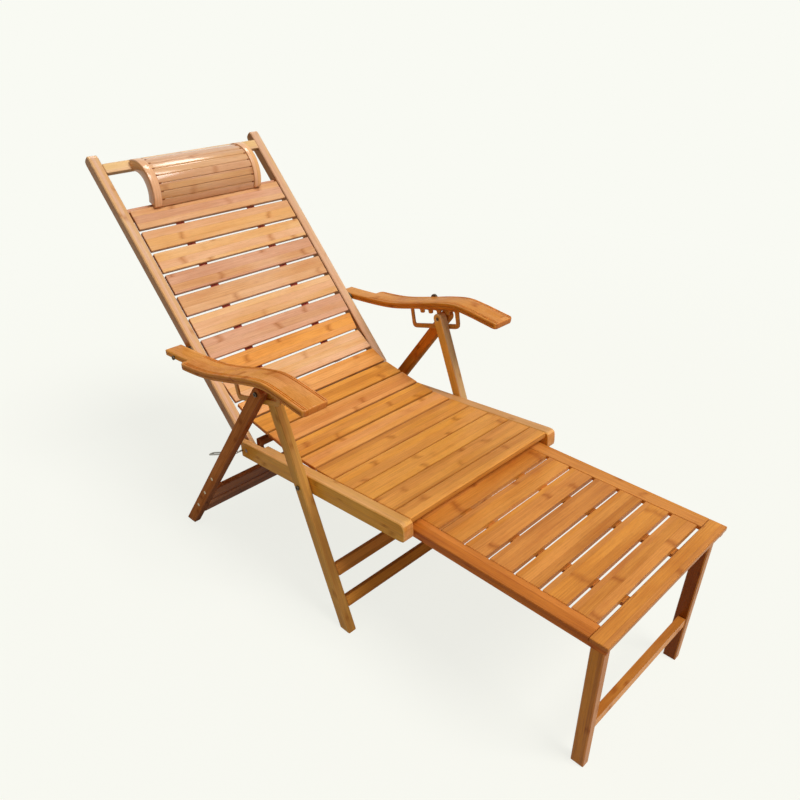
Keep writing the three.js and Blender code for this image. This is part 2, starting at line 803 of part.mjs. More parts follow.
bothSides((side, label) => {
  const reach = armBand.map(() => 0);
  reach[0] = armThick * halfShare * halfShare;
  reach[reach.length - 1] = reach[0];
  const outline = softened(armBand, reach);
  const body = across(outline, side * armInner, side * armOuter, armEdge);
  const hole = pin(armPivotY, armPivotZ, boltRadius + pinGap, 0, side * (armOuter + beyond));
  const high = Math.max(...armZ) + beyond;
  const low = armPivotZ - beyond;
  const step = softened(
    [
      [armTongueOuter * side, armTongueY],
      [(armOuter + beyond) * side, armTongueY],
      [(armOuter + beyond) * side, armPivotY + beyond * pairShare],
      [armTongueOuter * side, armPivotY + beyond * pairShare],
    ],
    [armTongueRound, 0, 0, 0],
  );
  const front = armY[0];
  const noseInner = [
    [(armInner - beyond) * side, front + armFrontRound],
    [(armInner - beyond) * side, front - beyond],
    [(armInner + armFrontRound) * side, front - beyond],
    [(armInner + armFrontRound) * side, front],
    [armInner * side, front + armFrontRound],
  ];
  const noseOuter = [
    [(armOuter + beyond) * side, front + armFrontRound],
    [armOuter * side, front + armFrontRound],
    [(armOuter - armFrontRound) * side, front],
    [(armOuter - armFrontRound) * side, front - beyond],
    [(armOuter + beyond) * side, front - beyond],
  ];
  const upright = (points) => {
    const options = { depth: high - low, bevelEnabled: false };
    const geometry = new THREE.ExtrudeGeometry(shapeOf(points), options);
    geometry.translate(0, 0, low);
    return geometry;
  };
  const groovePoints = armTop.filter((p) => p[0] < armGrooveRearY);
  const grooveFrom = [
    armInner + armGrooveMargins[0],
    armOuter - armGrooveMargins[1] - armGrooveWide,
  ];
  const grooves = grooveFrom.map((from) => {
    const band = bandOutline(groovePoints, -armEdge, armEdge + armGrooveDeep);
    return across(band, side * from, side * (from + armGrooveWide), 0);
  });
  const shaped = cut(body, hole, upright(step), upright(noseInner), upright(noseOuter), ...grooves);
  add(`armrest_${label}`, shaped, bambooPale);
  const shankEnd = armTongueOuter + fitGap;
  const shank = pin(armPivotY, armPivotZ, boltRadius, side * armBoltEnd, side * (shankEnd + sink));
  const head = pin(
    armPivotY,
    armPivotZ,
    boltHeadRadius,
    side * shankEnd,
    side * (shankEnd + boltHeadThick),
  );
  const washer = pin(
    armPivotY,
    armPivotZ,
    boltWasherRadius,
    side * (stileOuter + fitGap),
    side * (armInner - fitGap),
  );
  add(`arm_bolt_${label}`, joined(shank, head, washer), steel);
});

// Racks: a plate under each armrest with a window of notches for the apex bolt
function rackPoint(along, above) {
  return [apexY + along * rackRun + above * rackFall, apexZ - along * rackFall + above * rackRun];
}

bothSides((side, label) => {
  const frontLow = rackPoint(-rackFrontReach, -rackFrontBottom);
  const rearLow = rackPoint(rackRearReach, -rackRearBottom);
  const frontY = rackPoint(-rackFrontReach, rackNotchHigh)[0];
  const rearY = rackPoint(rackRearReach, rackNotchHigh)[0];
  const points = [frontLow, rearLow];
  for (let i = 0; i <= rackTopSteps; i += 1) {
    const y = rearY + ((frontY - rearY) * i) / rackTopSteps;
    points.push([y, armUnder(y) - fitGap]);
  }
  const reach = points.map((p, i) => (i < pairShare ? rackLowerRound : 0));
  const windowFront = -rackFrontReach + rackWall;
  const windowRear = rackRearReach - rackWall;
  const inside = [
    rackPoint(windowFront, rackBar - rackFrontBottom),
    rackPoint(windowRear, rackBar - rackRearBottom),
  ];
  const insideReach = [rackNotchRound, rackNotchRound];
  for (let i = rackNotchCount - 1; i >= 0; i -= 1) {
    const middle = (rackFirstNotch + i) * rackPitch;
    const last = i === rackNotchCount - 1;
    const first = i === 0;
    const rear = last ? windowRear : middle + rackNotchWide * halfShare;
    const fore = first ? windowFront : middle - rackNotchWide * halfShare;
    if (!last) {
      inside.push(rackPoint(rear, rackToothLow));
      insideReach.push(rackNotchRound);
    }
    inside.push(rackPoint(rear, rackNotchHigh));
    inside.push(rackPoint(fore, rackNotchHigh));
    insideReach.push(rackNotchRound, rackNotchRound);
    if (!first) {
      inside.push(rackPoint(fore, rackToothLow));
      insideReach.push(rackNotchRound);
    }
  }
  const opening = softened(inside, insideReach);
  const outline = softened(points, reach);
  const plate = across(outline, side * rackInner, side * rackOuter, rackEdge, [opening]);
  add(`arm_rack_${label}`, plate, bambooDark);
});

// Footrest sides: board, and a runner under it that holds the leg's pivot
const panelLowZ = panelTopZ - panelThick;
bothSides((side, label) => {
  const inner = panelHalf - panelSideWide;
  const frontY = panelFrontY + panelEndWide + fitGap;
  const board = block(
    side * inner,
    side * panelHalf,
    frontY,
    panelRearY,
    panelLowZ,
    panelTopZ,
    boardEdge,
  );
  const runnerLowZ = panelLowZ - runnerSlit - runnerDeep;
  const runnerOutline = softened(
    [
      [runnerFrontY, runnerLowZ],
      [panelRearY, runnerLowZ],
      [panelRearY, panelLowZ - runnerSlit],
      [runnerFrontY, panelLowZ - runnerSlit],
    ],
    [runnerNose, 0, 0, runnerNose],
  );
  const runner = across(
    runnerOutline,
    side * runnerInner,
    side * runnerOuter,
    boardEdge * halfShare,
  );
  const key = block(
    side * runnerInner,
    side * (runnerInner + runnerKey),
    frontY,
    panelRearY - boardEdge,
    panelLowZ - runnerSlit - sink,
    panelLowZ + sink,
  );
  const guideHole = pin(guideY, guideZ, guideRadius + pinGap, 0, side * (panelHalf + beyond));
  const pivotHole = pin(
    restPivotY,
    restPivotZ,
    restPinRadius + pinGap,
    0,
    side * (restPinEnd + pinGap),
  );
  const body = joined(board, runner, key);
  add(`footrest_side_${label}`, cut(body, guideHole, pivotHole), bamboo);
});

add(
  "footrest_end_board",
  across(
    softened(
      [
        [panelFrontY, panelLowZ],
        [panelFrontY + panelEndWide, panelLowZ],
        [panelFrontY + panelEndWide, panelTopZ],
        [panelFrontY, panelTopZ],
      ],
      boardCorner,
    ),
    -panelHalf,
    panelHalf,
    boardEdge,
  ),
  bamboo,
);

// Slats of the footrest on two battens
{
  const half = panelHalf - panelSideWide - fitGap;
  const slats = panelBreaksY.slice(1).map((rearY, i) => {
    const frontY = panelBreaksY[i] + panelGap * halfShare;
    const endY = rearY - panelGap * halfShare;
    return block(-half, half, frontY, endY, panelLowZ, panelTopZ, boardEdge);
  });
  const lastY = panelBreaksY[panelBreaksY.length - 1] - panelGap * halfShare;
  const battens = sides.map((side) =>
    block(
      side * battenMiddle - battenWide * halfShare,
      side * battenMiddle + battenWide * halfShare,
      battenFrontY,
      lastY - boardEdge,
      panelLowZ - battenDeep,
      panelLowZ + sink,
    ),
  );
  add("footrest_slats", joined(...battens, ...slats), bamboo);
}

add("footrest_guide_rod", pin(guideY, guideZ, guideRadius, -guideHalf, guideHalf), steel);

// Footrest legs lean in towards the floor
function splayed(geometry, side) {
  const lean = side * restSplayShare;
  const offset = -lean * restPivotZ;
  const shear = new THREE.Matrix4().set(1, 0, lean, offset, 0, 1, 0, 0, 0, 0, 1, 0, 0, 0, 0, 1);
  return geometry.applyMatrix4(shear);
}

bothSides((side, label) => {
  const frontY = restPivotY - restLegFront;
  const outline = [
    [frontY, 0],
    [restPivotY + restLegRound, 0],
  ];
  for (let i = 0; i <= roundSteps; i += 1) {
    const turn = (quarterTurn * i) / roundSteps;
    const y = restPivotY + restLegRound * Math.cos(turn);
    outline.push([y, restPivotZ + restLegRound * Math.sin(turn)]);
  }
  outline.push([frontY + boardCorner, restPivotZ + restLegRound]);
  outline.push([frontY, restPivotZ + restLegRound - boardCorner]);
  const body = splayed(across(outline, side * restLegInner, side * restLegOuter, legEdge), side);
  const pinStart = restLegOuter - legEdge;
  const pivot = pin(restPivotY, restPivotZ, restPinRadius, side * pinStart, side * restPinEnd);
  add(`footrest_leg_${label}`, joined(body, pivot), bambooFrame);
});
add(
  "footrest_stretcher",
  block(
    -restStretcherHalf,
    restStretcherHalf,
    restPivotY - restLegFront + restStretcherBack,
    restPivotY - restLegFront + restStretcherBack + restStretcherThick,
    restStretcherLowZ,
    restStretcherHighZ,
    boardEdge,
  ),
  bamboo,
);

// Wire loops that swing on studs at the rear ends of the seat rails
class LoopCurve extends THREE.Curve {
  constructor(length, half) {
    super();
    this.length = length;
    this.half = half;
  }

  getPoint(t, target = new THREE.Vector3()) {
    const straight = this.length - this.half * pairShare;
    const bend = Math.PI * this.half;
    const total = straight * pairShare + bend * pairShare;
    let s = t * total;
    if (s < straight) return target.set(this.half + s, this.half, 0);
    s -= straight;
    if (s < bend) {
      const turn = quarterTurn - s / this.half;
      const u = this.half + straight + this.half * Math.cos(turn);
      return target.set(u, this.half * Math.sin(turn), 0);
    }
    s -= bend;
    if (s < straight) return target.set(this.half + straight - s, -this.half, 0);
    s -= straight;
    const turn = -quarterTurn - s / this.half;
    return target.set(this.half + this.half * Math.cos(turn), this.half * Math.sin(turn), 0);
  }
}

bothSides((side, label) => {
  const loop = new THREE.TubeGeometry(
    new LoopCurve(wireLength, wireHalfWide),
    wireSamples,
    wireRadius,
    wireSides,
    true,
  );
  const turn = new THREE.Matrix4().makeRotationX(-wireDip);
  loop.applyMatrix4(new THREE.Matrix4().set(0, 0, 1, 0, 1, 0, 0, 0, 0, 1, 0, 0, 0, 0, 0, 1));
  loop.applyMatrix4(turn);
  loop.translate(side * wireX, wireEyeY, wireEyeZ);
  const stud = pin(
    wireEyeY,
    wireEyeZ,
    wireRadius,
    side * wireStudInner,
    side * (wireX + wireRadius * halfShare),
  );
  add(`wire_loop_${label}`, joined(loop, stud), steel);
});

// The origin is the middle of the chair's own bounding box, at the floor
recliner.updateMatrixWorld(true);
const bounds = new THREE.Box3().setFromObject(recliner);
const middle = bounds.getCenter(new THREE.Vector3());
recliner.position.set(-middle.x, -middle.y, -bounds.min.z);
recliner.updateMatrixWorld(true);

export default recliner;
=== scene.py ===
"""Looks of a bamboo folding recliner: finishes, fittings, webbing, light and camera.

The sitter faces -Y, the back leans towards +Y and +Z is up. "left" and "right" are the
sitter's own sides, so left is +X. Sizes in the sub-assemblies are in millimetres as drawn,
and Drawing turns them into places in metres. The boards and legs keep their own solids and
get procedural bamboo. The armrests, the head pillow, the webbing, the wire loops and the
fasteners are modelled here in place of their plain solids.
"""

from __future__ import annotations

import logging
import math
from collections.abc import Callable, Iterable, Sequence
from dataclasses import dataclass, replace
from enum import Enum

import bmesh
import bpy
from mathutils import Matrix, Vector
from mathutils.geometry import interpolate_bezier

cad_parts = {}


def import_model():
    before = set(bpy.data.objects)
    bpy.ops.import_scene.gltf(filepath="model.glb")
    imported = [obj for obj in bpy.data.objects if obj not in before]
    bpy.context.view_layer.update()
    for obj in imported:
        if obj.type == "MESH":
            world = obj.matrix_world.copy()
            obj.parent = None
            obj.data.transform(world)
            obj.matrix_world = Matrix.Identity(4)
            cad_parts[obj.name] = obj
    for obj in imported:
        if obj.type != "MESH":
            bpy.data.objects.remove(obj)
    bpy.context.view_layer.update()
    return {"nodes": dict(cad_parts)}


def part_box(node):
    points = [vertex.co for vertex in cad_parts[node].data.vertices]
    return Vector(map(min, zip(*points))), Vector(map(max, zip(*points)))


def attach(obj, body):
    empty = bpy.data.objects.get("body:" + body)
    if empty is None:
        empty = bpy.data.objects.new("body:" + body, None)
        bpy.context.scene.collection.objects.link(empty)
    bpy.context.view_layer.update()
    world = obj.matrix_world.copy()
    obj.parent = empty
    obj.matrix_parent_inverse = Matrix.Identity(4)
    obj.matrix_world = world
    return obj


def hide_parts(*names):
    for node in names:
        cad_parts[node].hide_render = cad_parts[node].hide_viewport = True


LOG = logging.getLogger("recliner")
MM = 0.001
SIDES = ((1, "left"), (-1, "right"))
ACROSS = Vector((1, 0, 0))
MIRROR = Matrix.Scale(-1, 4, ACROSS)
FACING = 0.9
NEAR = 1e-3
Socket = bpy.types.NodeSocket
Node = bpy.types.Node
Object = bpy.types.Object
Material = bpy.types.Material
Colour = tuple[float, float, float]
Point = tuple[float, float]
Value = Socket | float | Sequence[float]


# Frame and drawing


@dataclass(frozen=True)
class Drawing:
    """Turns points of the side drawing, in millimetres, into places on the chair."""

    shift: float
    hinge: Point = (222.0, 312.0)
    apex: Point = (78.0, 539.0)
    leg_pivot: Point = (-6.0, 332.0)
    rear_foot: Point = (463.0, 0.0)
    arm_pivot: Point = (410.0, 510.0)
    lean: float = math.radians(46.25)
    seat_fall: float = math.atan(0.0841)
    rack_fall: float = math.radians(12)

    @classmethod
    def from_frame(cls) -> Drawing:
        """Finds how far the drawing's zero lies from the frame's, by the hinge rod."""
        low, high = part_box("hinge_rod")
        return cls((low.y + high.y) / 2 - cls.hinge[0] * MM)

    def place(self, x: float, y: float, z: float) -> Vector:
        """Gives a drawn point as a place in metres."""
        return Vector((x * MM, y * MM + self.shift, z * MM))

    def on_back(self, along: float, front: float) -> Vector:
        """Gives a place in the middle of the back.

        Args:
            along: Length from the hinge along the middle of the stiles.
            front: Height above that line, towards the sitter.

        Returns:
            The place in metres.
        """
        run, rise = math.cos(self.lean), math.sin(self.lean)
        y = self.hinge[0] + along * run - front * rise
        z = self.hinge[1] + along * rise + front * run
        return self.place(0.0, y, z)

    @staticmethod
    def falling(angle: float) -> Vector:
        """Gives the direction to the rear that falls by an angle."""
        return Vector((0, math.cos(angle), -math.sin(angle)))

    def up_back(self) -> Vector:
        """Gives the direction up the back."""
        return self.falling(-self.lean)

    def along_leg(self, lower: Point) -> Vector:
        """Gives the direction of a leg from a lower point up to the apex."""
        return Vector((0, self.apex[0] - lower[0], self.apex[1] - lower[1]))


@dataclass(frozen=True)
class Grain:
    """Straight axes of a board: along its fibres, across its face and through it."""

    run: Vector
    across: Vector
    through: Vector
    middle: float = 0.0
    half: float = 1.0

    SIDEWAYS = 0.7
    ALIKE = 0.995

    @classmethod
    def of(cls, board: Object, run: Vector) -> Grain:
        """Finds a board's face and width from its own mesh.

        Args:
            board: The board.
            run: Direction of its fibres.

        Returns:
            The grain with the middle and the half of the board's width.
        """
        run = run.normalized()
        areas: list[tuple[Vector, float]] = []
        for face in board.data.polygons:
            side = face.normal - run * face.normal.dot(run)
            if side.length < cls.SIDEWAYS:
                continue
            side.normalize()
            for i, (normal, area) in enumerate(areas):
                if abs(normal.dot(side)) > cls.ALIKE:
                    areas[i] = (normal, area + face.area)
                    break
            else:
                areas.append((side, face.area))
        widest = max(areas, key=lambda entry: entry[1])[0]
        across = widest.cross(run).normalized()
        spread = [vertex.co.dot(across) for vertex in board.data.vertices]
        low, high = min(spread), max(spread)
        return cls(run, across, widest, (low + high) / 2, (high - low) / 2)


@dataclass(frozen=True)
class ArcGrain:
    """Grain that follows a bent strip round an axis along X."""

    centre: Vector
    radius: float
    middle: float
    half: float


# Materials


def linear(hex_colour: int) -> Colour:
    """Turns a display colour such as 0xD9924C into the shader's linear colour.

    Args:
        hex_colour: Red, green and blue, a byte each.

    Returns:
        The three linear parts.
    """
    parts = [((hex_colour >> shift) & 0xFF) / 255 for shift in (16, 8, 0)]
    return tuple(
        part / 12.92 if part <= 0.04045 else ((part + 0.055) / 1.055) ** 2.4 for part in parts
    )


def shaded(colour: Colour, shares: Colour) -> Colour:
    """Multiplies a colour by a share for each of its parts."""
    return tuple(part * share for part, share in zip(colour, shares))


class Graph:
    """Node tree of a material or of the world, built link by link."""

    MIX_FIRST = 6
    MIX_SECOND = 7
    MIX_RESULT = 2

    def __init__(self, owner: Material | bpy.types.World, output: str) -> None:
        """Empties the owner's tree and adds its output.

        Args:
            owner: What the tree belongs to.
            output: Kind of the output node.
        """
        owner.use_nodes = True
        self.owner = owner
        self.tree = owner.node_tree
        self.tree.nodes.clear()
        self.surface = self.node(output).inputs["Surface"]

    def feed(self, socket: Socket, value: Value) -> None:
        """Links a socket to another one, or sets it to a constant.

        Args:
            socket: The socket to feed.
            value: Another socket, a number, or a colour or vector.
        """
        if isinstance(value, Socket):
            self.tree.links.new(value, socket)
        elif isinstance(value, (int, float)):
            socket.default_value = value
        else:
            socket.default_value = (tuple(value) + (1.0,))[: len(socket.default_value)]

    def fill(self, node: Node, **values: Value) -> Node:
        """Feeds a node's sockets by name.

        Args:
            node: The node.
            values: What each socket gets, with _ for a space in the socket's name.

        Returns:
            The node.
        """
        for name, value in values.items():
            self.feed(node.inputs[name.replace("_", " ")], value)
        return node

    def node(self, kind: str, *values: Value, **options: str | bool) -> Node:
        """Adds a node, sets its options and feeds its sockets in order.

        Args:
            kind: Kind of the node.
            values: What its first sockets get.
            options: Its options.

        Returns:
            The node.
        """
        node = self.tree.nodes.new(f"ShaderNode{kind}")
        for name, value in options.items():
            setattr(node, name, value)
        for socket, value in zip(node.inputs, values):
            self.feed(socket, value)
        return node

    def position(self) -> Socket:
        """Gives the place on the piece."""
        return self.node("TexCoord").outputs["Object"]

    def math(self, operation: str, *values: Value, clamp: bool = False) -> Socket:
        """Adds a Math node and gives its result."""
        return self.node("Math", *values, operation=operation, use_clamp=clamp).outputs[0]

    def times(self, first: Value, second: Value) -> Socket:
        """Multiplies two values."""
        return self.math("MULTIPLY", first, second)

    def ramp(self, value: Socket, gain: float, base: Value) -> Socket:
        """Gives a value times its gain plus a base."""
        return self.math("MULTIPLY_ADD", value, gain, base)

    def swing(self, value: Socket, gain: float, base: Value, clamp: bool = False) -> Socket:
        """Gives how far a value lies from one half, times its gain plus a base."""
        middled = self.math("SUBTRACT", value, 0.5)
        return self.math("MULTIPLY_ADD", middled, gain, base, clamp=clamp)

    def away(self, value: Socket, middle: float) -> Socket:
        """Gives the distance of a value from a middle."""
        return self.math("ABSOLUTE", self.math("SUBTRACT", value, middle))

    def vector(self, operation: str, *values: Value) -> Socket:
        """Adds a Vector Math node and gives its result."""
        name = "Value" if operation in ("DOT_PRODUCT", "LENGTH") else "Vector"
        return self.node("VectorMath", *values, operation=operation).outputs[name]

    def parts(self, vector: Socket) -> list[Socket]:
        """Splits a vector into its three numbers."""
        return list(self.node("SeparateXYZ", vector).outputs)

    def whole(self, *values: Value) -> Socket:
        """Joins three numbers into a vector."""
        return self.node("CombineXYZ", *values).outputs[0]

    def noise(self, vector: Socket, detail: float, scale: float = 1.0) -> Socket:
        """Adds smooth noise and gives its factor."""
        node = self.fill(self.node("TexNoise"), Vector=vector, Scale=scale, Detail=detail)
        return node.outputs["Fac"]

    def chance(self, vector: Socket) -> list[Socket]:
        """Gives three random numbers for each cell."""
        node = self.node("TexWhiteNoise", vector, noise_dimensions="3D")
        return self.parts(node.outputs["Color"])

    def between(self, value: Socket, low: float, high: float) -> Socket:
        """Maps low to 0 and high to 1 with soft ends, either way round."""
        node = self.node("MapRange", interpolation_type="SMOOTHSTEP")
        return self.fill(node, Value=value, From_Min=low, From_Max=high).outputs["Result"]

    def blend(self, share: Value, first: Value, second: Value, way: str = "MIX") -> Socket:
        """Mixes two colours.

        Args:
            share: Share of the second colour.
            first: First colour.
            second: Second colour.
            way: Blender's name of the way to mix.

        Returns:
            The mixed colour.
        """
        node = self.node("Mix", share, data_type="RGBA", blend_type=way)
        self.feed(node.inputs[self.MIX_FIRST], first)
        self.feed(node.inputs[self.MIX_SECOND], second)
        return node.outputs[self.MIX_RESULT]

    def either(self, share: Socket, first: Node, second: Node) -> Node:
        """Mixes two shaders."""
        return self.node("MixShader", share, first.outputs[0], second.outputs[0])

    def seen(self) -> Socket:
        """Gives 1 for rays from the camera, from a mirror or through glass.

        Returns:
            The socket of that number.
        """
        path = self.node("LightPath").outputs
        seen = self.math("MAXIMUM", path["Is Camera Ray"], path["Is Glossy Ray"])
        return self.math("MAXIMUM", seen, path["Is Transmission Ray"])


class Surface(Graph):
    """Material with one surface shader."""

    def __init__(self, name: str) -> None:
        """Starts a material.

        Args:
            name: Name of the material.
        """
        super().__init__(bpy.data.materials.new(name), "OutputMaterial")
        self.shader = self.node("BsdfPrincipled")
        self.feed(self.surface, self.shader.outputs["BSDF"])

    def set(self, **values: Value) -> None:
        """Feeds the surface shader, with _ for a space in a socket's name."""
        self.fill(self.shader, **values)

    def relief(self, height: Socket, depth: float, strength: float) -> None:
        """Raises the surface by a height from 0 to 1 that stands for a depth in metres."""
        bump = self.fill(self.node("Bump"), Height=height, Distance=depth, Strength=strength)
        self.set(Normal=bump.outputs["Normal"])


class Tone(Enum):
    """Pale and deep colour of the bamboo in one group of boards."""

    ROSE = (0xE6B68A, 0xCB9368)
    HONEY = (0xEFC08C, 0xDAA268)
    APRICOT = (0xEDA95A, 0xCC813A)
    AMBER = (0xE8A246, 0xC07A30)
    FOX = (0xE79D46, 0xBC7430)
    CREAM = (0xFDD9AC, 0xEBB882)
    STRAW = (0xEFCB93, 0xD9AC70)
    WHEAT = (0xFAC890, 0xDDA369)
    OLIVE = (0xE6AF5C, 0xC48C44)
    BUFF = (0xFAC274, 0xDAA058)
    RUSSET = (0xDC8834, 0xAA5E20)
    CHESTNUT = (0xD2864C, 0x9C5A2E)
    UMBER = (0xBE7C48, 0x864E28)

    @classmethod
    def row(cls, names: str) -> tuple[Tone, ...]:
        """Lists tones by their names."""
        return tuple(cls[name] for name in names.split())


@dataclass(frozen=True)
class Weave:
    """Noise in a board: how dense it is along and across the fibres, and its detail."""

    along: float
    across: float
    detail: float
    seed: float = 0.0

    SEED_ALONG = 7.3
    SEED_ACROSS = 3.1

    def noise(self, graph: Graph, place: Sequence[Socket], seed: float) -> Socket:
        """Adds the noise to a board.

        Args:
            graph: Tree of the material.
            place: Place along, across and through the board.
            seed: Number of the board.

        Returns:
            The noise from 0 to 1.
        """
        along, width, depth = place
        seed += self.seed
        stretched = graph.whole(
            graph.ramp(along, self.along, seed * self.SEED_ALONG),
            graph.ramp(width, self.across, seed * self.SEED_ACROSS),
            graph.times(depth, self.across),
        )
        return graph.noise(stretched, self.detail)


@dataclass(frozen=True)
class BambooFinish:
    """Varnished laminated bamboo: strips with fibres, darker nodes and thin glue lines."""

    tone: Tone
    strip: float = 0.0195
    layer: float = 0.0062
    node_pitch: float = 0.27
    roughness: float = 0.38
    specular: float = 0.1
    coat: float = 0.06
    mark: float = 1.0
    seam: float = 0.3
    # side multiplies the faces that look along X: painted light above 1, painted shade below 1
    side: Colour = (0.98, 0.88, 0.6)

    # The pattern's noises, gains, ranges, shares and tints, the same in every finish.
    SLOW = Weave(5.0, 22.0, 2.0)
    STREAK = Weave(9.0, 420.0, 3.0)
    FIBRE = Weave(40.0, 1900.0, 1.0)
    CLOUD = Weave(14.0, 60.0, 2.0, seed=5)
    STRIP_SHIFT, LAYER_SHIFT = 0.0137, 0.0031
    MIDDLE_TONE = 0.42
    SLOW_GAIN, SHADE_GAIN, STREAK_GAIN, HUE_GAIN = 1.5, 0.5, 1.3, 0.9
    ROSY, ROSY_TINT = (0.75, 0.25), (0.99, 0.95, 1.1)
    GOLDEN, GOLDEN_TINT = (0.5, 1.0), (1.0, 0.93, 0.76)
    CLOUDY, CLOUD_SHARE, WARM = (0.5, 0.8), 0.3, (1.05, 0.82, 0.72)
    FIBROUS, FIBRE_SHARE, DARK = (0.52, 0.74), 0.38, (0.55, 0.55, 0.55)
    RUSSET, BROWN = (0.72, 0.5, 0.3), (0.42, 0.3, 0.25)
    # The last share is the strength of the painted shade along the edges.
    HALO_SHARE, LINE_SHARE, RIM_SHARE = 0.55, 0.28, 0.35
    WOBBLE = 0.03
    PRESENT, BROKEN = (0.25, 0.7), (0.35, 0.65)
    NODE_LINE, NODE_HALO = (0.004, 0.0006), (0.016, 0.001)
    # The second pair is a band of painted shade along both long edges of each face.
    GLUE_LINE, RIM = (0.482, 0.494), (0.0026, 0.0004)
    LENGTHWISE = 0.5
    # the painted light and shade on the sides turns on between these values of the normal's X
    PAINTED_SIDE_TURN = (0.6, 0.9)
    END_TURN, END_TINT = (0.65, 0.92), (0.8, 0.62, 0.48)
    HALO_ROUGHNESS, STREAK_ROUGHNESS = 0.1, 0.16
    FIBRE_HEIGHT, STREAK_HEIGHT, SEAM_HEIGHT, HALO_HEIGHT = 0.25, 0.5, -0.6, 0.5
    RELIEF_DEPTH, RELIEF_STRENGTH = 0.0005, 0.35
    COAT_ROUGHNESS, IOR = 0.16, 1.48

    def material(self, name: str, grain: Grain | ArcGrain, seed: float) -> Material:
        """Makes the material of one piece.

        Args:
            name: Name of the material.
            grain: Directions of the fibres on the piece.
            seed: Number that gives the piece its own pattern.

        Returns:
            The material.
        """
        graph = Surface(name)
        place = self._place(graph, grain)
        along, width, depth = place
        strip = graph.math("ADD", width, seed * self.STRIP_SHIFT)
        strip = graph.math("DIVIDE", strip, self.strip)
        layer = graph.math("ADD", depth, seed * self.LAYER_SHIFT)
        layer = graph.math("DIVIDE", layer, self.layer)
        cell = graph.whole(graph.math("FLOOR", strip), graph.math("FLOOR", layer), seed)
        shade, offset, presence = graph.chance(cell)
        weaves = (self.SLOW, self.STREAK, self.FIBRE, self.CLOUD)
        slow, streak, fibre, cloud = (weave.noise(graph, place, seed) for weave in weaves)
        line, halo = self._nodes(graph, along, cloud, offset, presence)
        seam = graph.between(graph.away(graph.math("FRACT", strip), 0.5), *self.GLUE_LINE)
        # Painted shade: a brown band along both long edges of the face
        edge = (grain.half - inward for inward in self.RIM)
        painted_edge_shade = graph.between(graph.away(width, grain.middle), *edge)

        pale, deep = (linear(value) for value in self.tone.value)
        share = graph.swing(slow, self.SLOW_GAIN, self.MIDDLE_TONE)
        share = graph.swing(shade, self.SHADE_GAIN, share)
        share = graph.swing(streak, self.STREAK_GAIN, share, clamp=True)
        hue = graph.swing(offset, self.HUE_GAIN, slow)
        cloudy, fibrous = graph.between(cloud, *self.CLOUDY), graph.between(fibre, *self.FIBROUS)
        warm, dark = shaded(deep, self.WARM), shaded(deep, self.DARK)
        brown, russet = shaded(deep, self.BROWN), shaded(deep, self.RUSSET)
        colour = graph.blend(share, pale, deep)
        for share, second, way in (
            (graph.between(hue, *self.ROSY), self.ROSY_TINT, "MULTIPLY"),
            (graph.between(hue, *self.GOLDEN), self.GOLDEN_TINT, "MULTIPLY"),
            (graph.times(cloudy, self.CLOUD_SHARE), warm, "MIX"),
            (graph.times(fibrous, self.FIBRE_SHARE), dark, "MIX"),
            (graph.times(halo, self.HALO_SHARE * self.mark), russet, "MIX"),
            (graph.times(line, self.LINE_SHARE * self.mark), brown, "MIX"),
            (graph.times(seam, self.seam), brown, "MIX"),
            # painted shade along the long edges
            (graph.times(painted_edge_shade, self.RIM_SHARE), brown, "MIX"),
        ):
            colour = graph.blend(share, colour, second, way)
        colour = self._painted_sides_and_end_grain(graph, colour, grain)

        rough = self.roughness - self.STREAK_ROUGHNESS / 2
        rough = graph.ramp(streak, self.STREAK_ROUGHNESS, rough)
        rough = graph.ramp(halo, self.HALO_ROUGHNESS, rough)
        height = graph.times(fibre, self.FIBRE_HEIGHT)
        height = graph.ramp(streak, self.STREAK_HEIGHT, height)
        height = graph.ramp(seam, self.SEAM_HEIGHT, height)
        height = graph.ramp(halo, self.HALO_HEIGHT, height)
        graph.relief(height, self.RELIEF_DEPTH, self.RELIEF_STRENGTH)
        graph.set(Base_Color=colour, Roughness=rough, Specular_IOR_Level=self.specular)
        graph.set(Coat_Weight=self.coat, Coat_Roughness=self.COAT_ROUGHNESS, IOR=self.IOR)
        return graph.owner

    @staticmethod
    def _place(graph: Graph, grain: Grain | ArcGrain) -> tuple[Socket, Socket, Socket]:
        """Gives the place along, across and through the piece, in metres.

        Args:
            graph: Tree of the material.
            grain: Directions of the fibres.

        Returns:
            The three places.
        """
        position = graph.position()
        if isinstance(grain, ArcGrain):
            x, y, z = graph.parts(graph.vector("SUBTRACT", position, grain.centre))
            squares = graph.math("MULTIPLY_ADD", y, y, graph.times(z, z))
            turn = graph.math("ARCTAN2", y, z)
            return graph.times(turn, grain.radius), x, graph.math("SQRT", squares)
        axes = (grain.run, grain.across, grain.through)
        return tuple(graph.vector("DOT_PRODUCT", position, axis) for axis in axes)

    def _nodes(
        self, graph: Graph, along: Socket, cloud: Socket, offset: Socket, presence: Socket
    ) -> tuple[Socket, Socket]:
        """Gives the dark line and the brown halo at the nodes of each strip.

        Args:
            graph: Tree of the material.
            along: Place along the fibres.
            cloud: Noise that bends and breaks the line.
            offset: Random number of the strip that shifts its nodes.
            presence: Random number of the strip that weakens them.

        Returns:
            The line and the halo, from 0 to 1.
        """
        wobble = graph.times(graph.math("SUBTRACT", cloud, 0.5), self.WOBBLE)
        moved = graph.math("ADD", graph.ramp(offset, self.node_pitch, along), wobble)
        turns = graph.math("FRACT", graph.math("DIVIDE", moved, self.node_pitch))
        distance = graph.times(graph.away(turns, 0.5), self.node_pitch)
        shown = graph.between(presence, *self.PRESENT)
        line = graph.times(graph.between(distance, *self.NODE_LINE), shown)
        halo = graph.times(graph.between(distance, *self.NODE_HALO), shown)
        return graph.times(line, graph.between(cloud, *self.BROKEN)), halo

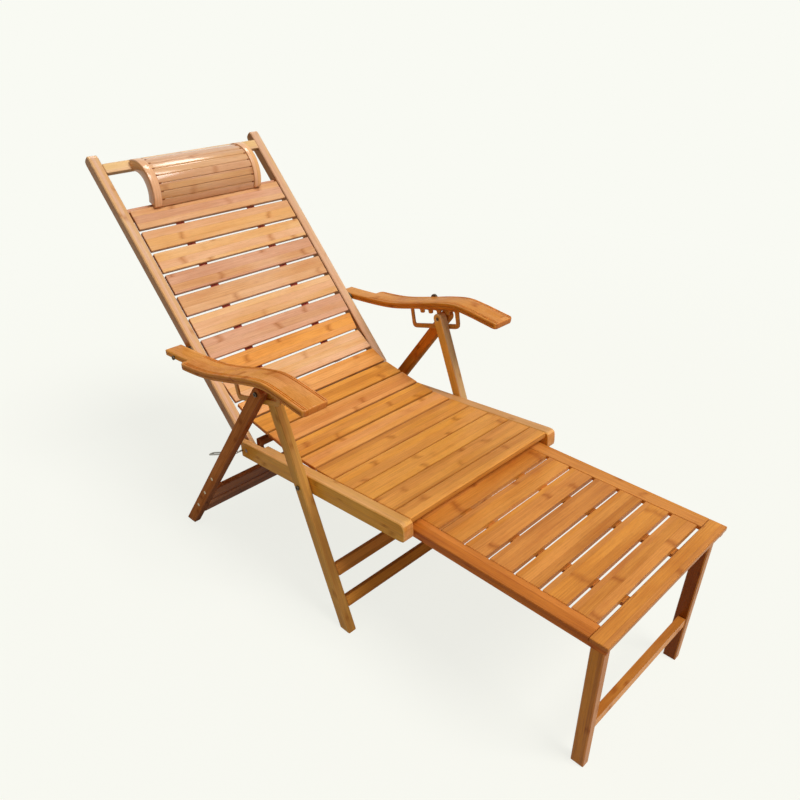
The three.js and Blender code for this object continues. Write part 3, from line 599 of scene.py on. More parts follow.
    def _painted_sides_and_end_grain(self, graph: Graph, colour: Socket, grain: Grain | ArcGrain) -> Socket:
        """Paints light and shade on the board's sides and darkens its end grain.

        Args:
            graph: Tree of the material.
            colour: Colour of the face.
            grain: Directions of the fibres.

        Returns:
            The colour all round.
        """
        normal = graph.node("TexCoord").outputs["Normal"]
        bent = isinstance(grain, ArcGrain)
        # Painted light and shade: faces that look along X are multiplied by side
        if bent or abs(grain.run.x) < self.LENGTHWISE:
            sideways = graph.math("ABSOLUTE", graph.parts(normal)[0])
            share = graph.between(sideways, *self.PAINTED_SIDE_TURN)
            colour = graph.blend(share, colour, self.side, "MULTIPLY")
        if bent:
            return colour
        ends = graph.math("ABSOLUTE", graph.vector("DOT_PRODUCT", normal, grain.run))
        share = graph.between(ends, *self.END_TURN)
        return graph.blend(share, colour, self.END_TINT, "MULTIPLY")


@dataclass(frozen=True)
class MetalFinish:
    """Plated steel with fine scratches and dull spots."""

    colour: int = 0xB9BBBD
    roughness: float = 0.3

    DULL = (0.55, 0.55, 0.55)
    SPOT_DETAIL, SPOT_DENSITY = 3.0, 180.0
    SPOTTED, SPOT_SHARE = (0.45, 0.75), 0.6
    SPOT_ROUGHNESS, SPOT_SMOOTHNESS = 0.25, 0.1
    RELIEF_DEPTH, RELIEF_STRENGTH = 0.0001, 0.3

    def material(self, name: str) -> Material:
        """Makes the material.

        Args:
            name: Name of the material.

        Returns:
            The material.
        """
        graph = Surface(name)
        spots = graph.noise(graph.position(), self.SPOT_DETAIL, self.SPOT_DENSITY)
        tint = linear(self.colour)
        share = graph.times(graph.between(spots, *self.SPOTTED), self.SPOT_SHARE)
        colour = graph.blend(share, tint, shaded(tint, self.DULL))
        rough = graph.ramp(spots, self.SPOT_ROUGHNESS, self.roughness - self.SPOT_SMOOTHNESS)
        graph.relief(spots, self.RELIEF_DEPTH, self.RELIEF_STRENGTH)
        graph.set(Base_Color=colour, Roughness=rough, Metallic=1.0)
        return graph.owner


@dataclass(frozen=True)
class WebbingFinish:
    """Red woven band with a twill of thick threads."""

    warp: int = 0xC4342A
    weft: int = 0x8E1A18
    dust: int = 0xC77C62
    thread: float = 0.0013

    TWILL_STEP, OVER = 0.25, (0.4, 0.6)
    THREAD_LOW, THREAD_RISE = 0.6, 0.4
    DUST_DENSITY, DUST_DETAIL, DUST_SHARE = 60.0, 2.0, 0.3
    RELIEF_DEPTH, RELIEF_STRENGTH = 0.0006, 0.8

    def material(self, name: str, run: Vector) -> Material:
        """Makes the material of one band.

        Args:
            name: Name of the material.
            run: Direction of the band's length.

        Returns:
            The material.
        """
        graph = Surface(name)
        position = graph.position()
        along = graph.vector("DOT_PRODUCT", position, run)
        row = graph.math("DIVIDE", along, self.thread)
        column = graph.math("DIVIDE", graph.parts(position)[0], self.thread)
        step = graph.ramp(graph.math("FLOOR", row), self.TWILL_STEP, column)
        over = graph.between(graph.math("FRACT", step), *self.OVER)
        ridge = graph.away(graph.math("FRACT", row), 0.5)
        raised = graph.ramp(over, self.THREAD_RISE, self.THREAD_LOW)
        height = graph.math("SUBTRACT", raised, ridge)
        dusty = graph.whole(graph.times(along, self.DUST_DENSITY), column, 0.0)
        dust = graph.noise(dusty, self.DUST_DETAIL)
        colour = graph.blend(over, linear(self.weft), linear(self.warp))
        colour = graph.blend(graph.times(dust, self.DUST_SHARE), colour, linear(self.dust))
        graph.relief(height, self.RELIEF_DEPTH, self.RELIEF_STRENGTH)
        graph.set(Base_Color=colour, Roughness=0.85, Sheen_Weight=0.25)
        return graph.owner


# Modelling


class Bench:
    """One new piece on the bench: a primitive that is shaped in edit mode."""

    DOUBLES = 1e-6

    def __init__(self, name: str) -> None:
        """Takes the primitive that was added last.

        Args:
            name: Name of the piece.
        """
        self.piece = bpy.context.object
        self.piece.name = name
        self.piece.data.name = name
        bpy.ops.object.transform_apply(location=True, rotation=True, scale=True)

    @staticmethod
    def clear() -> None:
        """Deselects everything."""
        bpy.ops.object.select_all(action="DESELECT")

    @classmethod
    def box(cls, name: str, low: Sequence[float], high: Sequence[float]) -> Bench:
        """Starts from a cube.

        Args:
            name: Name of the piece.
            low: Its lowest corner.
            high: Its highest corner.

        Returns:
            The piece on the bench.
        """
        cls.clear()
        first, last = Vector(low), Vector(high)
        bpy.ops.mesh.primitive_cube_add(size=1, location=(first + last) / 2)
        bpy.context.object.scale = last - first
        return cls(name)

    @classmethod
    def sheet(cls, name: str, place: Callable[[bool, bool], Sequence[float]]) -> Bench:
        """Starts from a single face with four corners.

        Args:
            name: Name of the piece.
            place: Gives a corner's place by whether it is far along either edge.

        Returns:
            The piece on the bench.
        """
        cls.clear()
        bpy.ops.mesh.primitive_plane_add(size=1, location=(0, 0, 0))
        bench = cls(name)
        for vertex in bench.piece.data.vertices:
            vertex.co = place(vertex.co.x > 0, vertex.co.y > 0)
        return bench

    @classmethod
    def rod(cls, name: str, centre: Vector, radius: float, length: float, sides: int) -> Bench:
        """Starts from a cylinder along X.

        Args:
            name: Name of the piece.
            centre: Its middle, in metres.
            radius: Its radius in millimetres.
            length: Its length in millimetres.
            sides: How many sides it has.

        Returns:
            The piece on the bench.
        """
        cls.clear()
        bpy.ops.mesh.primitive_cylinder_add(
            vertices=sides,
            radius=radius * MM,
            depth=length * MM,
            location=centre,
            rotation=(0, math.pi / 2, 0),
        )
        return cls(name)

    def edit(self) -> None:
        """Goes into edit mode."""
        bpy.context.view_layer.objects.active = self.piece
        bpy.ops.object.mode_set(mode="EDIT")

    def rest(self) -> None:
        """Goes back to object mode."""
        bpy.ops.object.mode_set(mode="OBJECT")

    def pick(self, kind: str, test: Callable[[Vector, Vector], bool]) -> None:
        """Selects faces or edges by where they are.

        Args:
            kind: FACE or EDGE.
            test: Takes a place and a direction, which is a face's normal or an edge's run.
        """
        bpy.ops.mesh.select_mode(type=kind)
        bpy.ops.mesh.select_all(action="DESELECT")
        mesh = bmesh.from_edit_mesh(self.piece.data)
        for part in mesh.faces if kind == "FACE" else mesh.edges:
            if kind == "FACE":
                place, way = part.calc_center_median(), part.normal
            else:
                first, second = (vertex.co for vertex in part.verts)
                place, way = (first + second) / 2, (second - first).normalized()
            if test(place, way):
                part.select_set(True)
        bmesh.update_edit_mesh(self.piece.data)

    @staticmethod
    def slice(place: Sequence[float], normal: Sequence[float]) -> None:
        """Cuts new edges into the piece where a plane meets it."""
        bpy.ops.mesh.select_all(action="SELECT")
        bpy.ops.mesh.bisect(plane_co=place, plane_no=normal)

    @staticmethod
    def extrude(offset: Sequence[float]) -> None:
        """Extrudes what is selected."""
        bpy.ops.mesh.extrude_region_move(TRANSFORM_OT_translate={"value": tuple(offset)})

    @staticmethod
    def shift(offset: Sequence[float]) -> None:
        """Moves what is selected."""
        bpy.ops.transform.translate(value=offset)

    @staticmethod
    def inset(width: float, depth: float = 0.0) -> None:
        """Insets the selected faces, in millimetres."""
        bpy.ops.mesh.inset(thickness=width * MM, depth=depth * MM)

    @staticmethod
    def bevel(width: float, segments: int) -> None:
        """Bevels the selected edges."""
        bpy.ops.mesh.bevel(offset=width, segments=segments, affect="EDGES")

    def round_edges(self, width: float, segments: int = 2, angle: float = 50.0) -> None:
        """Rounds edges sharper than an angle by a width in millimetres."""
        self._apply("BEVEL", width=width * MM, segments=segments, angle_limit=math.radians(angle))
        self.smooth(angle)

    def thicken(self, thickness: float) -> None:
        """Gives a sheet its thickness in millimetres."""
        self._apply("SOLIDIFY", thickness=thickness * MM, offset=0.0)

    def smooth(self, angle: float) -> None:
        """Smooths the shading between faces that meet at less than an angle."""
        self._take()
        bpy.ops.object.shade_smooth_by_angle(angle=math.radians(angle))

    def recalculate(self) -> None:
        """Merges doubles and turns all faces outwards."""
        self.edit()
        bpy.ops.mesh.select_all(action="SELECT")
        bpy.ops.mesh.remove_doubles(threshold=self.DOUBLES)
        bpy.ops.mesh.normals_make_consistent(inside=False)
        self.rest()

    def _take(self) -> None:
        """Makes the piece the only one that is selected, and the active one."""
        self.clear()
        self.piece.select_set(True)
        bpy.context.view_layer.objects.active = self.piece

    def _apply(self, kind: str, **settings: float) -> None:
        """Adds a modifier and applies it.

        Args:
            kind: Kind of the modifier.
            settings: Its settings.
        """
        self._take()
        modifier = self.piece.modifiers.new(kind.title(), kind)
        for name, value in settings.items():
            setattr(modifier, name, value)
        bpy.ops.object.modifier_apply(modifier=modifier.name)


def copy_of(source: Object, name: str, change: Matrix) -> Object:
    """Copies a finished piece with its own mesh.

    Args:
        source: The finished piece.
        name: Name of the copy.
        change: How the copy is moved or mirrored.

    Returns:
        The copy.
    """
    mesh = source.data.copy()
    mesh.transform(change)
    if change.determinant() < 0:
        mesh.flip_normals()
    piece = bpy.data.objects.new(name, mesh)
    mesh.name = name
    bpy.context.scene.collection.objects.link(piece)
    return piece


def pair(left: Object) -> list[tuple[Object, int, str]]:
    """Mirrors a left piece.

    Args:
        left: The finished piece, with left in its name.

    Returns:
        The left and the right piece, each with its side's sign and name.
    """
    right = copy_of(left, left.name.replace("left", "right"), MIRROR)
    return [(piece, *side) for piece, side in zip((left, right), SIDES)]


def joined(pieces: Sequence[Object], name: str) -> Object:
    """Joins pieces into the first one.

    Args:
        pieces: The pieces.
        name: Name of the whole.

    Returns:
        The whole.
    """
    Bench.clear()
    for piece in pieces:
        piece.select_set(True)
    bpy.context.view_layer.objects.active = pieces[0]
    bpy.ops.object.join()
    whole = bpy.context.object
    whole.name = name
    whole.data.name = name
    return whole


def fit(
    piece: Object, body: str, material: Material, replaces: Sequence[str] = ()
) -> None:
    """Dresses a finished piece and hangs it on its body.

    Args:
        piece: The piece, in place.
        body: Body that it moves with.
        material: Its material.
        replaces: Solids that it stands for.
    """
    piece.data.materials.clear()
    piece.data.materials.append(material)
    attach(piece, body)
    if replaces:
        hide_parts(*replaces)
    LOG.info("%s rides on %s", piece.name, body)


# Sub-assemblies


@dataclass
class Woodwork:
    """Boards and legs that keep their own solids and get a bamboo finish each."""

    drawing: Drawing
    nodes: dict[str, Object]
    back_tones: tuple[Tone, ...] = Tone.row(
        "ROSE HONEY HONEY ROSE ROSE HONEY ROSE APRICOT HONEY"
    )
    seat_tones: tuple[Tone, ...] = Tone.row(
        "AMBER AMBER AMBER AMBER AMBER APRICOT AMBER APRICOT AMBER APRICOT"
    )
    seat_seed: int = 21
    leg_spread: float = 0.046

    def dress(self) -> None:
        """Gives every board, leg and rod its material."""
        for i, tone in enumerate(self.back_tones):
            self._board(f"back_slat_{i + 1}", BambooFinish(tone), ACROSS, i + 1)
        for i, tone in enumerate(self.seat_tones):
            seed = i + self.seat_seed
            self._board(f"seat_slat_{i + 1}", BambooFinish(tone), ACROSS, seed)
        for name, (finish, seed) in self._crosswise().items():
            self._board(name, finish, ACROSS, seed)
        for i, (side, label) in enumerate(SIDES):
            for name, (finish, run, seed) in self._lengthwise(side).items():
                self._board(f"{name}_{label}", finish, run, seed + i)
        steel = MetalFinish().material("rod_steel")
        for name in ("hinge_rod", "footrest_guide_rod"):
            self._assign(name, steel)

    @staticmethod
    def _crosswise() -> dict[str, tuple[BambooFinish, int]]:
        """Lists the boards across the chair.

        Returns:
            The finish and the seed of each.
        """
        fox = BambooFinish(Tone.FOX)
        front = replace(fox, specular=0.0, coat=0.03)
        rear = BambooFinish(Tone.CHESTNUT, specular=0.0, coat=0.07)
        return {
            "seat_cross_rail": (BambooFinish(Tone.UMBER, specular=0.0, coat=0.03), 31),
            "back_top_rail": (BambooFinish(Tone.STRAW), 32),
            "back_pillow_rail": (BambooFinish(Tone.ROSE), 33),
            "front_stretcher_upper": (front, 54),
            "front_stretcher_lower": (front, 55),
            "rear_stretcher_upper": (rear, 56),
            "rear_stretcher_lower": (rear, 57),
            "footrest_end_board": (fox, 58),
            "footrest_slats": (fox, 59),
            "footrest_stretcher": (fox, 60),
        }

    def _lengthwise(self, side: int) -> dict[str, tuple[BambooFinish, Vector, int]]:
        """Lists the boards and legs on one side.

        Args:
            side: 1 on the left and -1 on the right.

        Returns:
            The finish, the direction of the fibres and the left board's seed of each.
        """
        left, drawing = side > 0, self.drawing
        # Each side= below paints light and shade on the faces that look along X.
        stile = BambooFinish(
            Tone.CREAM,
            strip=0.0087,
            layer=0.0085,
            node_pitch=0.4,
            seam=0.6,
            coat=0.15,
            side=(0.52, 0.36, 0.18),
        )
        leg = BambooFinish(
            Tone.OLIVE, strip=0.011, layer=0.009, node_pitch=0.42, side=(1.0, 0.88, 0.32)
        )
        dark = BambooFinish(
            Tone.CHESTNUT,
            strip=0.01,
            layer=0.008,
            node_pitch=0.4,
            specular=0.0,
            coat=0.03,
            side=(1.0, 0.95, 0.8),
        )
        fox = BambooFinish(Tone.FOX, strip=0.011, layer=0.009, node_pitch=0.3)
        rail = replace(leg, tone=Tone.BUFF, side=(0.95, 0.8, 0.26))
        # Painted shade: the right runner gets the deeper RUSSET tone; both runners' sides get
        # painted light.
        runner = BambooFinish(
            Tone.FOX if left else Tone.RUSSET, node_pitch=0.38, side=(1.3, 1.1, 0.6)
        )
        # Painted shade: the left footrest leg's sides are far darker than the right leg's.
        footrest_leg = replace(fox, side=(0.5, 0.3, 0.12) if left else (0.96, 0.86, 0.5))
        # Painted light: the left front and rear legs get paler tones than the right ones.
        if left:
            leg = replace(leg, tone=Tone.STRAW, side=(1.12, 0.98, 0.38))
            dark = replace(dark, tone=Tone.FOX, side=(1.0, 0.82, 0.5))
        return {
            "back_stile": (stile, drawing.up_back(), 40),
            "seat_rail": (rail, drawing.falling(drawing.seat_fall), 42),
            "front_leg": (leg, drawing.along_leg(drawing.leg_pivot), 44),
            "rear_leg": (dark, drawing.along_leg(drawing.rear_foot), 46),
            "arm_rack": (BambooFinish(Tone.OLIVE), drawing.falling(drawing.rack_fall), 48),
            "footrest_side": (runner, drawing.falling(0.0), 50),
            "footrest_leg": (footrest_leg, Vector((side * self.leg_spread, 0, 1)), 52),
        }

    def _board(self, name: str, finish: BambooFinish, run: Vector, seed: float) -> None:
        """Dresses one board whose fibres follow run."""
        grain = Grain.of(self.nodes[name], run)
        self._assign(name, finish.material(f"bamboo_{name}", grain, seed))

    def _assign(self, name: str, material: Material) -> None:
        """Puts a material on a solid.

        Args:
            name: Name of the solid.
            material: The material.
        """
        slots = self.nodes[name].material_slots
        for slot in slots:
            slot.link = "OBJECT"
            slot.material = material
        if not slots:
            self.nodes[name].data.materials.append(material)
        LOG.info("%s is dressed with %s", name, material.name)


@dataclass
class Armrests:
    """Two bent boards with a crest, bead grooves along both edges and a stepped tongue."""

    drawing: Drawing
    inner: float = 258.0
    outer: float = 325.0
    thick: float = 16.0
    crown_y: tuple[float, ...] = (-103, -60, -20, 29, 86, 163, 250, 346, 447)
    crown_z: tuple[float, ...] = (578, 583.5, 588.5, 591, 580, 558.5, 537, 526, 519.5)
    crown_steps: int = 24
    tongue_from: float = 346.0
    tongue_outer: float = 302.0
    front_corner: float = 10.0
    step_corner: float = 12.0
    corner_segments: int = 5
    groove_margins: tuple[float, ...] = (5.0, 9.6)
    groove_wide: float = 2.0
    groove_deep: float = 2.2
    groove_rear: float = 334.0
    bead_wide: float = 2.6
    bead_deep: float = 2.0
    square: float = 0.98
    edge: float = 3.4
    edge_segments: int = 4
    stations: int = 44
    seed: int = 71

    def build(self) -> None:
        """Models the left armrest, mirrors it and hangs both on their bodies."""
        # side= paints light and shade on the arm's side faces.
        finish = BambooFinish(
            Tone.APRICOT,
            strip=0.0225,
            roughness=0.4,
            specular=0.0,
            coat=0.22,
            side=(1.15, 1.05, 0.45),
        )
        axes = (Vector((0, 1, 0)), ACROSS, Vector((0, 0, 1)))
        middle, half = (self.inner + self.outer) / 2 * MM, (self.outer - self.inner) / 2 * MM
        for i, (piece, side, label) in enumerate(pair(self._model())):
            grain = Grain(*axes, side * middle, half)
            material = finish.material(f"bamboo_armrest_{label}", grain, self.seed + i)
            fit(piece, f"arm_{label}", material, [f"armrest_{label}"])

    def _crown_line(self) -> list[Vector]:
        """Samples the smooth line through the drawn points of the upper face.

        Returns:
            Places along the arm with their heights.
        """
        knots = [Vector(point) for point in zip(self.crown_y, self.crown_z)]
        samples = []
        for i, (start, end) in enumerate(zip(knots, knots[1:])):
            before, after = knots[max(i - 1, 0)], knots[min(i + 2, len(knots) - 1)]
            handles = start + (end - before) / 6, end - (after - start) / 6
            samples += interpolate_bezier(start, *handles, end, self.crown_steps + 1)[:-1]
        return [*samples, knots[-1]]

    def _model(self) -> Object:
        """Models the left board flat and bends it onto the crown line.

        Returns:
            The board.
        """
        front, rear = self.crown_y[0], self.crown_y[-1]
        low, high = (self.inner, front, -self.thick), (self.outer, self.tongue_from, 0)
        bench = Bench.box("armrest_board_left", low, high)
        bench.edit()
        bench.slice((self.tongue_outer, 0, 0), ACROSS)
        bench.pick("FACE", lambda at, way: way.y > FACING and at.x < self.tongue_outer)
        bench.extrude((0, rear - self.tongue_from, 0))
        bench.pick(
            "EDGE",
            lambda at, way: abs(at.x - self.tongue_outer) < NEAR and at.y < self.tongue_from - 1,
        )
        bpy.ops.mesh.dissolve_edges(use_verts=True)
        bench.pick("EDGE", lambda at, way: abs(way.z) > FACING and at.y < front + 1)
        bench.bevel(self.front_corner, self.corner_segments)
        bench.pick(
            "EDGE",
            lambda at, way: abs(way.z) > FACING
            and at.x > self.outer - 1
            and at.y > self.tongue_from - 1,
        )
        bench.bevel(self.step_corner, self.corner_segments)
        bench.pick("EDGE", lambda at, way: min(abs(at.z), abs(at.z + self.thick)) < NEAR)
        bench.bevel(self.edge, self.edge_segments)
        self._side_beads(bench)
        self._grooves(bench)
        for i in range(1, self.stations):
            bench.slice((0, front + (rear - front) * i / self.stations, 0), (0, 1, 0))
        bench.rest()
        samples = self._crown_line()
        for vertex in bench.piece.data.vertices:
            vertex.co = self._bent(vertex.co.copy(), samples)
        bench.recalculate()
        bench.round_edges(0.5)
        return bench.piece

    def _side_beads(self, bench: Bench) -> None:
        """Sinks a narrow groove along the middle of both side faces.

        Args:
            bench: The flat board.
        """
        low, high = (-self.thick / 2 + half for half in (-self.bead_wide / 2, self.bead_wide / 2))
        for height in (low, high):
            bench.slice((0, 0, height), (0, 0, 1))
        for side, _ in SIDES:
            bench.pick("FACE", lambda at, way: way.x * side > self.square and low < at.z < high)
            bench.extrude((-side * self.bead_deep, 0, 0))

    def _grooves(self, bench: Bench) -> None:
        """Sinks two bead grooves along both edges into the upper face.

        Args:
            bench: The flat board.
        """
        starts = [self.inner + margin for margin in self.groove_margins]
        starts += [self.outer - margin - self.groove_wide for margin in self.groove_margins]
        for start in starts:
            bench.slice((start, 0, 0), ACROSS)
            bench.slice((start + self.groove_wide, 0, 0), ACROSS)
        bench.slice((0, self.groove_rear, 0), (0, 1, 0))
        bench.pick(
            "FACE",
            lambda at, way: way.z > FACING
            and at.y < self.groove_rear
            and any(start < at.x < start + self.groove_wide for start in starts),
        )
        bench.extrude((0, 0, -self.groove_deep))

    def _bent(self, flat: Vector, samples: list[Vector]) -> Vector:
        """Moves a point of the flat board onto the crown line.

        Args:
            flat: The point.
            samples: Points of the line.

        Returns:
            The place in metres.
        """
        inside = min(max(flat.y, samples[0][0]), samples[-1][0])
        spans = zip(samples, samples[1:])
        (y0, z0), (y1, z1) = next(span for span in spans if span[1][0] >= inside)
        slope = (z1 - z0) / (y1 - y0)
        size = math.hypot(1, slope)
        y = flat.y - flat.z * slope / size
        z = z0 + slope * (flat.y - y0) + flat.z / size
        return self.drawing.place(flat.x, y, z)


@dataclass
class HeadPillow:
    """Arched pillow: two bent end boards with open slats between them, tied with cord."""

    drawing: Drawing
    half: float = 162.0
    arch_wide: float = 22.0
    chord: float = 145.0
    rise: float = 52.0
    arch_deep: float = 29.0
    arch_start: float = -0.4
    arch_steps: int = 36
    middle: float = 712.0
    slat_deep: float = 6.5
    slat_count: int = 9
    slat_sink: float = 3.0
    slat_crown: float = 0.7
    gap: float = 0.7
    stile_half: float = 14.0
    cord: float = 2.3
    wrap: float = 6.5
    seed: int = 81

    def build(self) -> None:
        """Models the end boards, the slats and the lashings."""
        # side= paints shade on the end boards' side faces.
        finish = BambooFinish(
            Tone.WHEAT, strip=0.03, layer=0.0042, mark=0.6, coat=0.8, side=(1.0, 0.92, 0.7)
        )
        half_wide = self.arch_wide / 2
        for i, (piece, side, label) in enumerate(pair(self._arch())):
            middle = side * (self.half - half_wide) * MM
            grain = ArcGrain(self._centre(), self._radius() * MM, middle, half_wide * MM)
            material = finish.material(f"bamboo_pillow_end_{label}", grain, self.seed + i)
            fit(piece, "head_pillow", material, [f"pillow_arch_{label}"])
        up_back = self.drawing.up_back()
        grain = Grain(ACROSS, up_back, ACROSS.cross(up_back))
        finish = BambooFinish(Tone.WHEAT, strip=0.0162, layer=0.05, roughness=0.34, coat=1.0)
        material = finish.material("bamboo_pillow_slats", grain, self.seed + 4)
        fit(self._slats(), "head_pillow", material, ["pillow_slats"])
        finish = BambooFinish(Tone.UMBER, strip=0.001, mark=0.0, roughness=0.6, coat=0.0)
        material = finish.material("lashing_cord", grain, self.seed + 5)
        fit(self._lashings(), "head_pillow", material)

    def _radius(self) -> float:
        """Gives the outer radius of the arch from its chord and rise."""
        return ((self.chord / 2) ** 2 + self.rise**2) / (2 * self.rise)

    def _centre(self) -> Vector:
        """Gives the axis of the arch."""
        return self.drawing.on_back(self.middle, self.stile_half - self._radius() + self.rise)

    def _reach(self, radius: float, clear: float) -> float:
        """Gives the half angle at which an arc comes down to the slats of the back."""
        return math.acos((self._radius() - self.rise + clear) / radius)

    def _slat_circle(self) -> tuple[float, float, float]:
        """Gives how the slats lie round the arch.

        Returns:
            The outer radius, half the angle that they fill and the angle of one slat.
        """
        outer = self._radius() - self.slat_sink
        reach = self._reach(outer - self.slat_deep, 0.6)
        return outer, reach, 2 * reach / self.slat_count

    def _placing(self, turn: float) -> Matrix:
        """Gives the move from the axis' own frame to a place round the arch."""
        tilt = Matrix.Rotation(self.drawing.lean - turn, 4, "X")
        return Matrix.Translation(self._centre()) @ tilt

    def _arch(self) -> Object:
        """Spins the section of the left end board round the axis of the arch.

        Returns:
            The board, in place.
        """
        outer = self._radius()
        inner = outer - self.arch_deep
        reach = self._reach((outer + inner) / 2, 0.3)
        across = ((self.half - self.arch_wide) * MM, self.half * MM)
        start, upwards = self.arch_start * MM, (inner * MM, outer * MM)
        bench = Bench.sheet("pillow_end_left", lambda out, up: (across[out], start, upwards[up]))
        bench.edit()
        bench.pick("FACE", lambda at, way: True)
        bpy.ops.mesh.spin(
            steps=self.arch_steps,
            angle=2 * reach,
            center=(0, 0, 0),
            axis=ACROSS,
            use_auto_merge=False,
        )
        bench.rest()
        bench.recalculate()
        turned = [math.atan2(v.co.y, v.co.z) for v in bench.piece.data.vertices]
        bench.piece.data.transform(self._placing(-(min(turned) + max(turned)) / 2))
        bench.round_edges(2.2, segments=3)
        return bench.piece

    def _slats(self) -> Object:
        """Models one slat and lays copies of it round the arch.

        Returns:
            All slats as one piece.
        """
        outer, reach, step = self._slat_circle()
        inner = outer - self.slat_deep
        wide = outer * step - self.gap
        end = self.half - self.arch_wide - 0.3
        bench = Bench.box(
            "pillow_slat",
            Vector((-end, -wide / 2, inner)) * MM,
            Vector((end, wide / 2, outer)) * MM,
        )
        bench.edit()
        bench.slice((0, 0, 0), (0, 1, 0))

        def on_ridge(at: Vector, way: Vector) -> bool:
            """Tells whether an edge is the upper one in the slat's middle."""
            return abs(way.x) > FACING and abs(at.y) < 1e-5 and at.z > inner * MM + 1e-4

        bench.pick("EDGE", on_ridge)
        bench.shift((0, 0, self.slat_crown * MM))
        bench.pick("EDGE", on_ridge)
        bench.bevel(5 * MM, 3)
        bench.rest()
        bench.recalculate()
        bench.round_edges(1.3, segments=3, angle=40.0)
        turns = [-reach + (i + 0.5) * step for i in range(self.slat_count)]
        return self._spread(bench.piece, "pillow_slat_set", map(self._placing, turns))

    def _lashings(self) -> Object:
        """Models one wrap of cord and sets one at both ends of every gap.

        Returns:
            All wraps as one piece.
        """
        outer, reach, step = self._slat_circle()
        bench = Bench.rod("lashing", Vector((0, 0, outer * MM)), self.cord, self.wrap, sides=10)
        bench.edit()
        bench.pick("FACE", lambda at, way: abs(way.x) > FACING)
        bench.inset(0.7, 0.5)
        bench.rest()
        bench.smooth(60.0)
        end = self.half - self.arch_wide - 3.6
        changes = []
        for i in range(1, self.slat_count):
            for side, _ in SIDES:
                offset = Matrix.Translation(Vector((side * end * MM, 0, -0.6 * MM)))
                changes.append(self._placing(-reach + i * step) @ offset)
        return self._spread(bench.piece, "pillow_lashings", changes)

    @staticmethod
    def _spread(piece: Object, name: str, changes: Iterable[Matrix]) -> Object:
        """Puts copies of a piece in their places.

        Args:
            piece: The piece, which goes away.
            name: Name of the whole.
            changes: A move for each copy.

        Returns:
            The copies as one piece.
        """
        copies = [copy_of(piece, f"{name}_{i + 1}", move) for i, move in enumerate(changes)]
        bpy.data.objects.remove(piece)
        return joined(copies, name)


@dataclass
class Webbing:
    """Two woven bands under the seat's slats and two behind the back's."""

    drawing: Drawing
    inner: float = 97.0
    outer: float = 121.0
    thick: float = 1.6
    under: float = 10.3
    sag_y: tuple[float, ...] = (-20, 53, 110, 169, 231, 285, 341, 374)
    sag_z: tuple[float, ...] = (356, 356.5, 363, 373, 384, 407, 444, 486)
    split: int = 5
    split_half: float = 3.5
    back_front: float = 14.0
    back_low: float = 261.0
    back_top: float = 652.0
    step: float = 20.0

    def build(self) -> None:
        """Models the left bands and copies them to the right."""
        sag = [self.drawing.place(0, y, z) for y, z in zip(self.sag_y, self.sag_z)]
        before, middle, after = sag[self.split - 1 : self.split + 2]
        rear = middle + (after - middle).normalized() * self.split_half * MM
        front = middle + (before - middle).normalized() * self.split_half * MM
        low = self.drawing.on_back(self.back_low, self.back_front)
        top = self.drawing.on_back(self.back_top, self.back_front)
        runs = {
            "back": ([rear, *sag[self.split + 1 :], low, top], self.drawing.up_back()),
            "seat": ([*sag[: self.split], front], self.drawing.falling(0.0)),
        }
        for body, (path, run) in runs.items():
            for piece, _, label in pair(self._band(f"{body}_band_left", path)):
                material = WebbingFinish().material(f"webbing_{body}_{label}", run)
                fit(piece, body, material, [f"{body}_web_{label}"])

    def _band(self, name: str, path: list[Vector]) -> Object:
        """Extrudes the edge of a narrow strip along a path and gives it thickness.

        Args:
            name: Name of the band.
            path: Places over the band that it follows.

        Returns:
            The band.
        """
        points = self._beneath(path)
        first, second = points[0], points[1]
        sides = (self.inner * MM, self.outer * MM)
        bench = Bench.sheet(name, lambda out, on: (sides[out], *(first, second)[on].yz))
        bench.edit()
        bench.pick("EDGE", lambda at, way: abs(way.x) > FACING and (at - second).yz.length < 1e-5)
        for before, after in zip(points[1:], points[2:]):
            bench.extrude(after - before)
        bench.rest()
        bench.thicken(self.thick)
        bench.recalculate()
        bench.round_edges(0.5)
        return bench.piece

    def _beneath(self, path: list[Vector]) -> list[Vector]:
        """Moves a path to the middle of the band and puts more points on it.

        Args:
            path: Places on the slats.

        Returns:
            Places in the band.
        """
        inset = (self.under + self.thick / 2) * MM
        line = []
        for i, point in enumerate(path):
            before, after = path[max(i - 1, 0)], path[min(i + 1, len(path) - 1)]
            way = (after - before).normalized()
            line.append(point + Vector((0, way.z, -way.y)) * inset)
        points = [line[0]]
        for start, end in zip(line, line[1:]):
            count = max(2, round((end - start).length / (self.step * MM)))
            points += [start.lerp(end, (k + 1) / count) for k in range(count)]
        return points


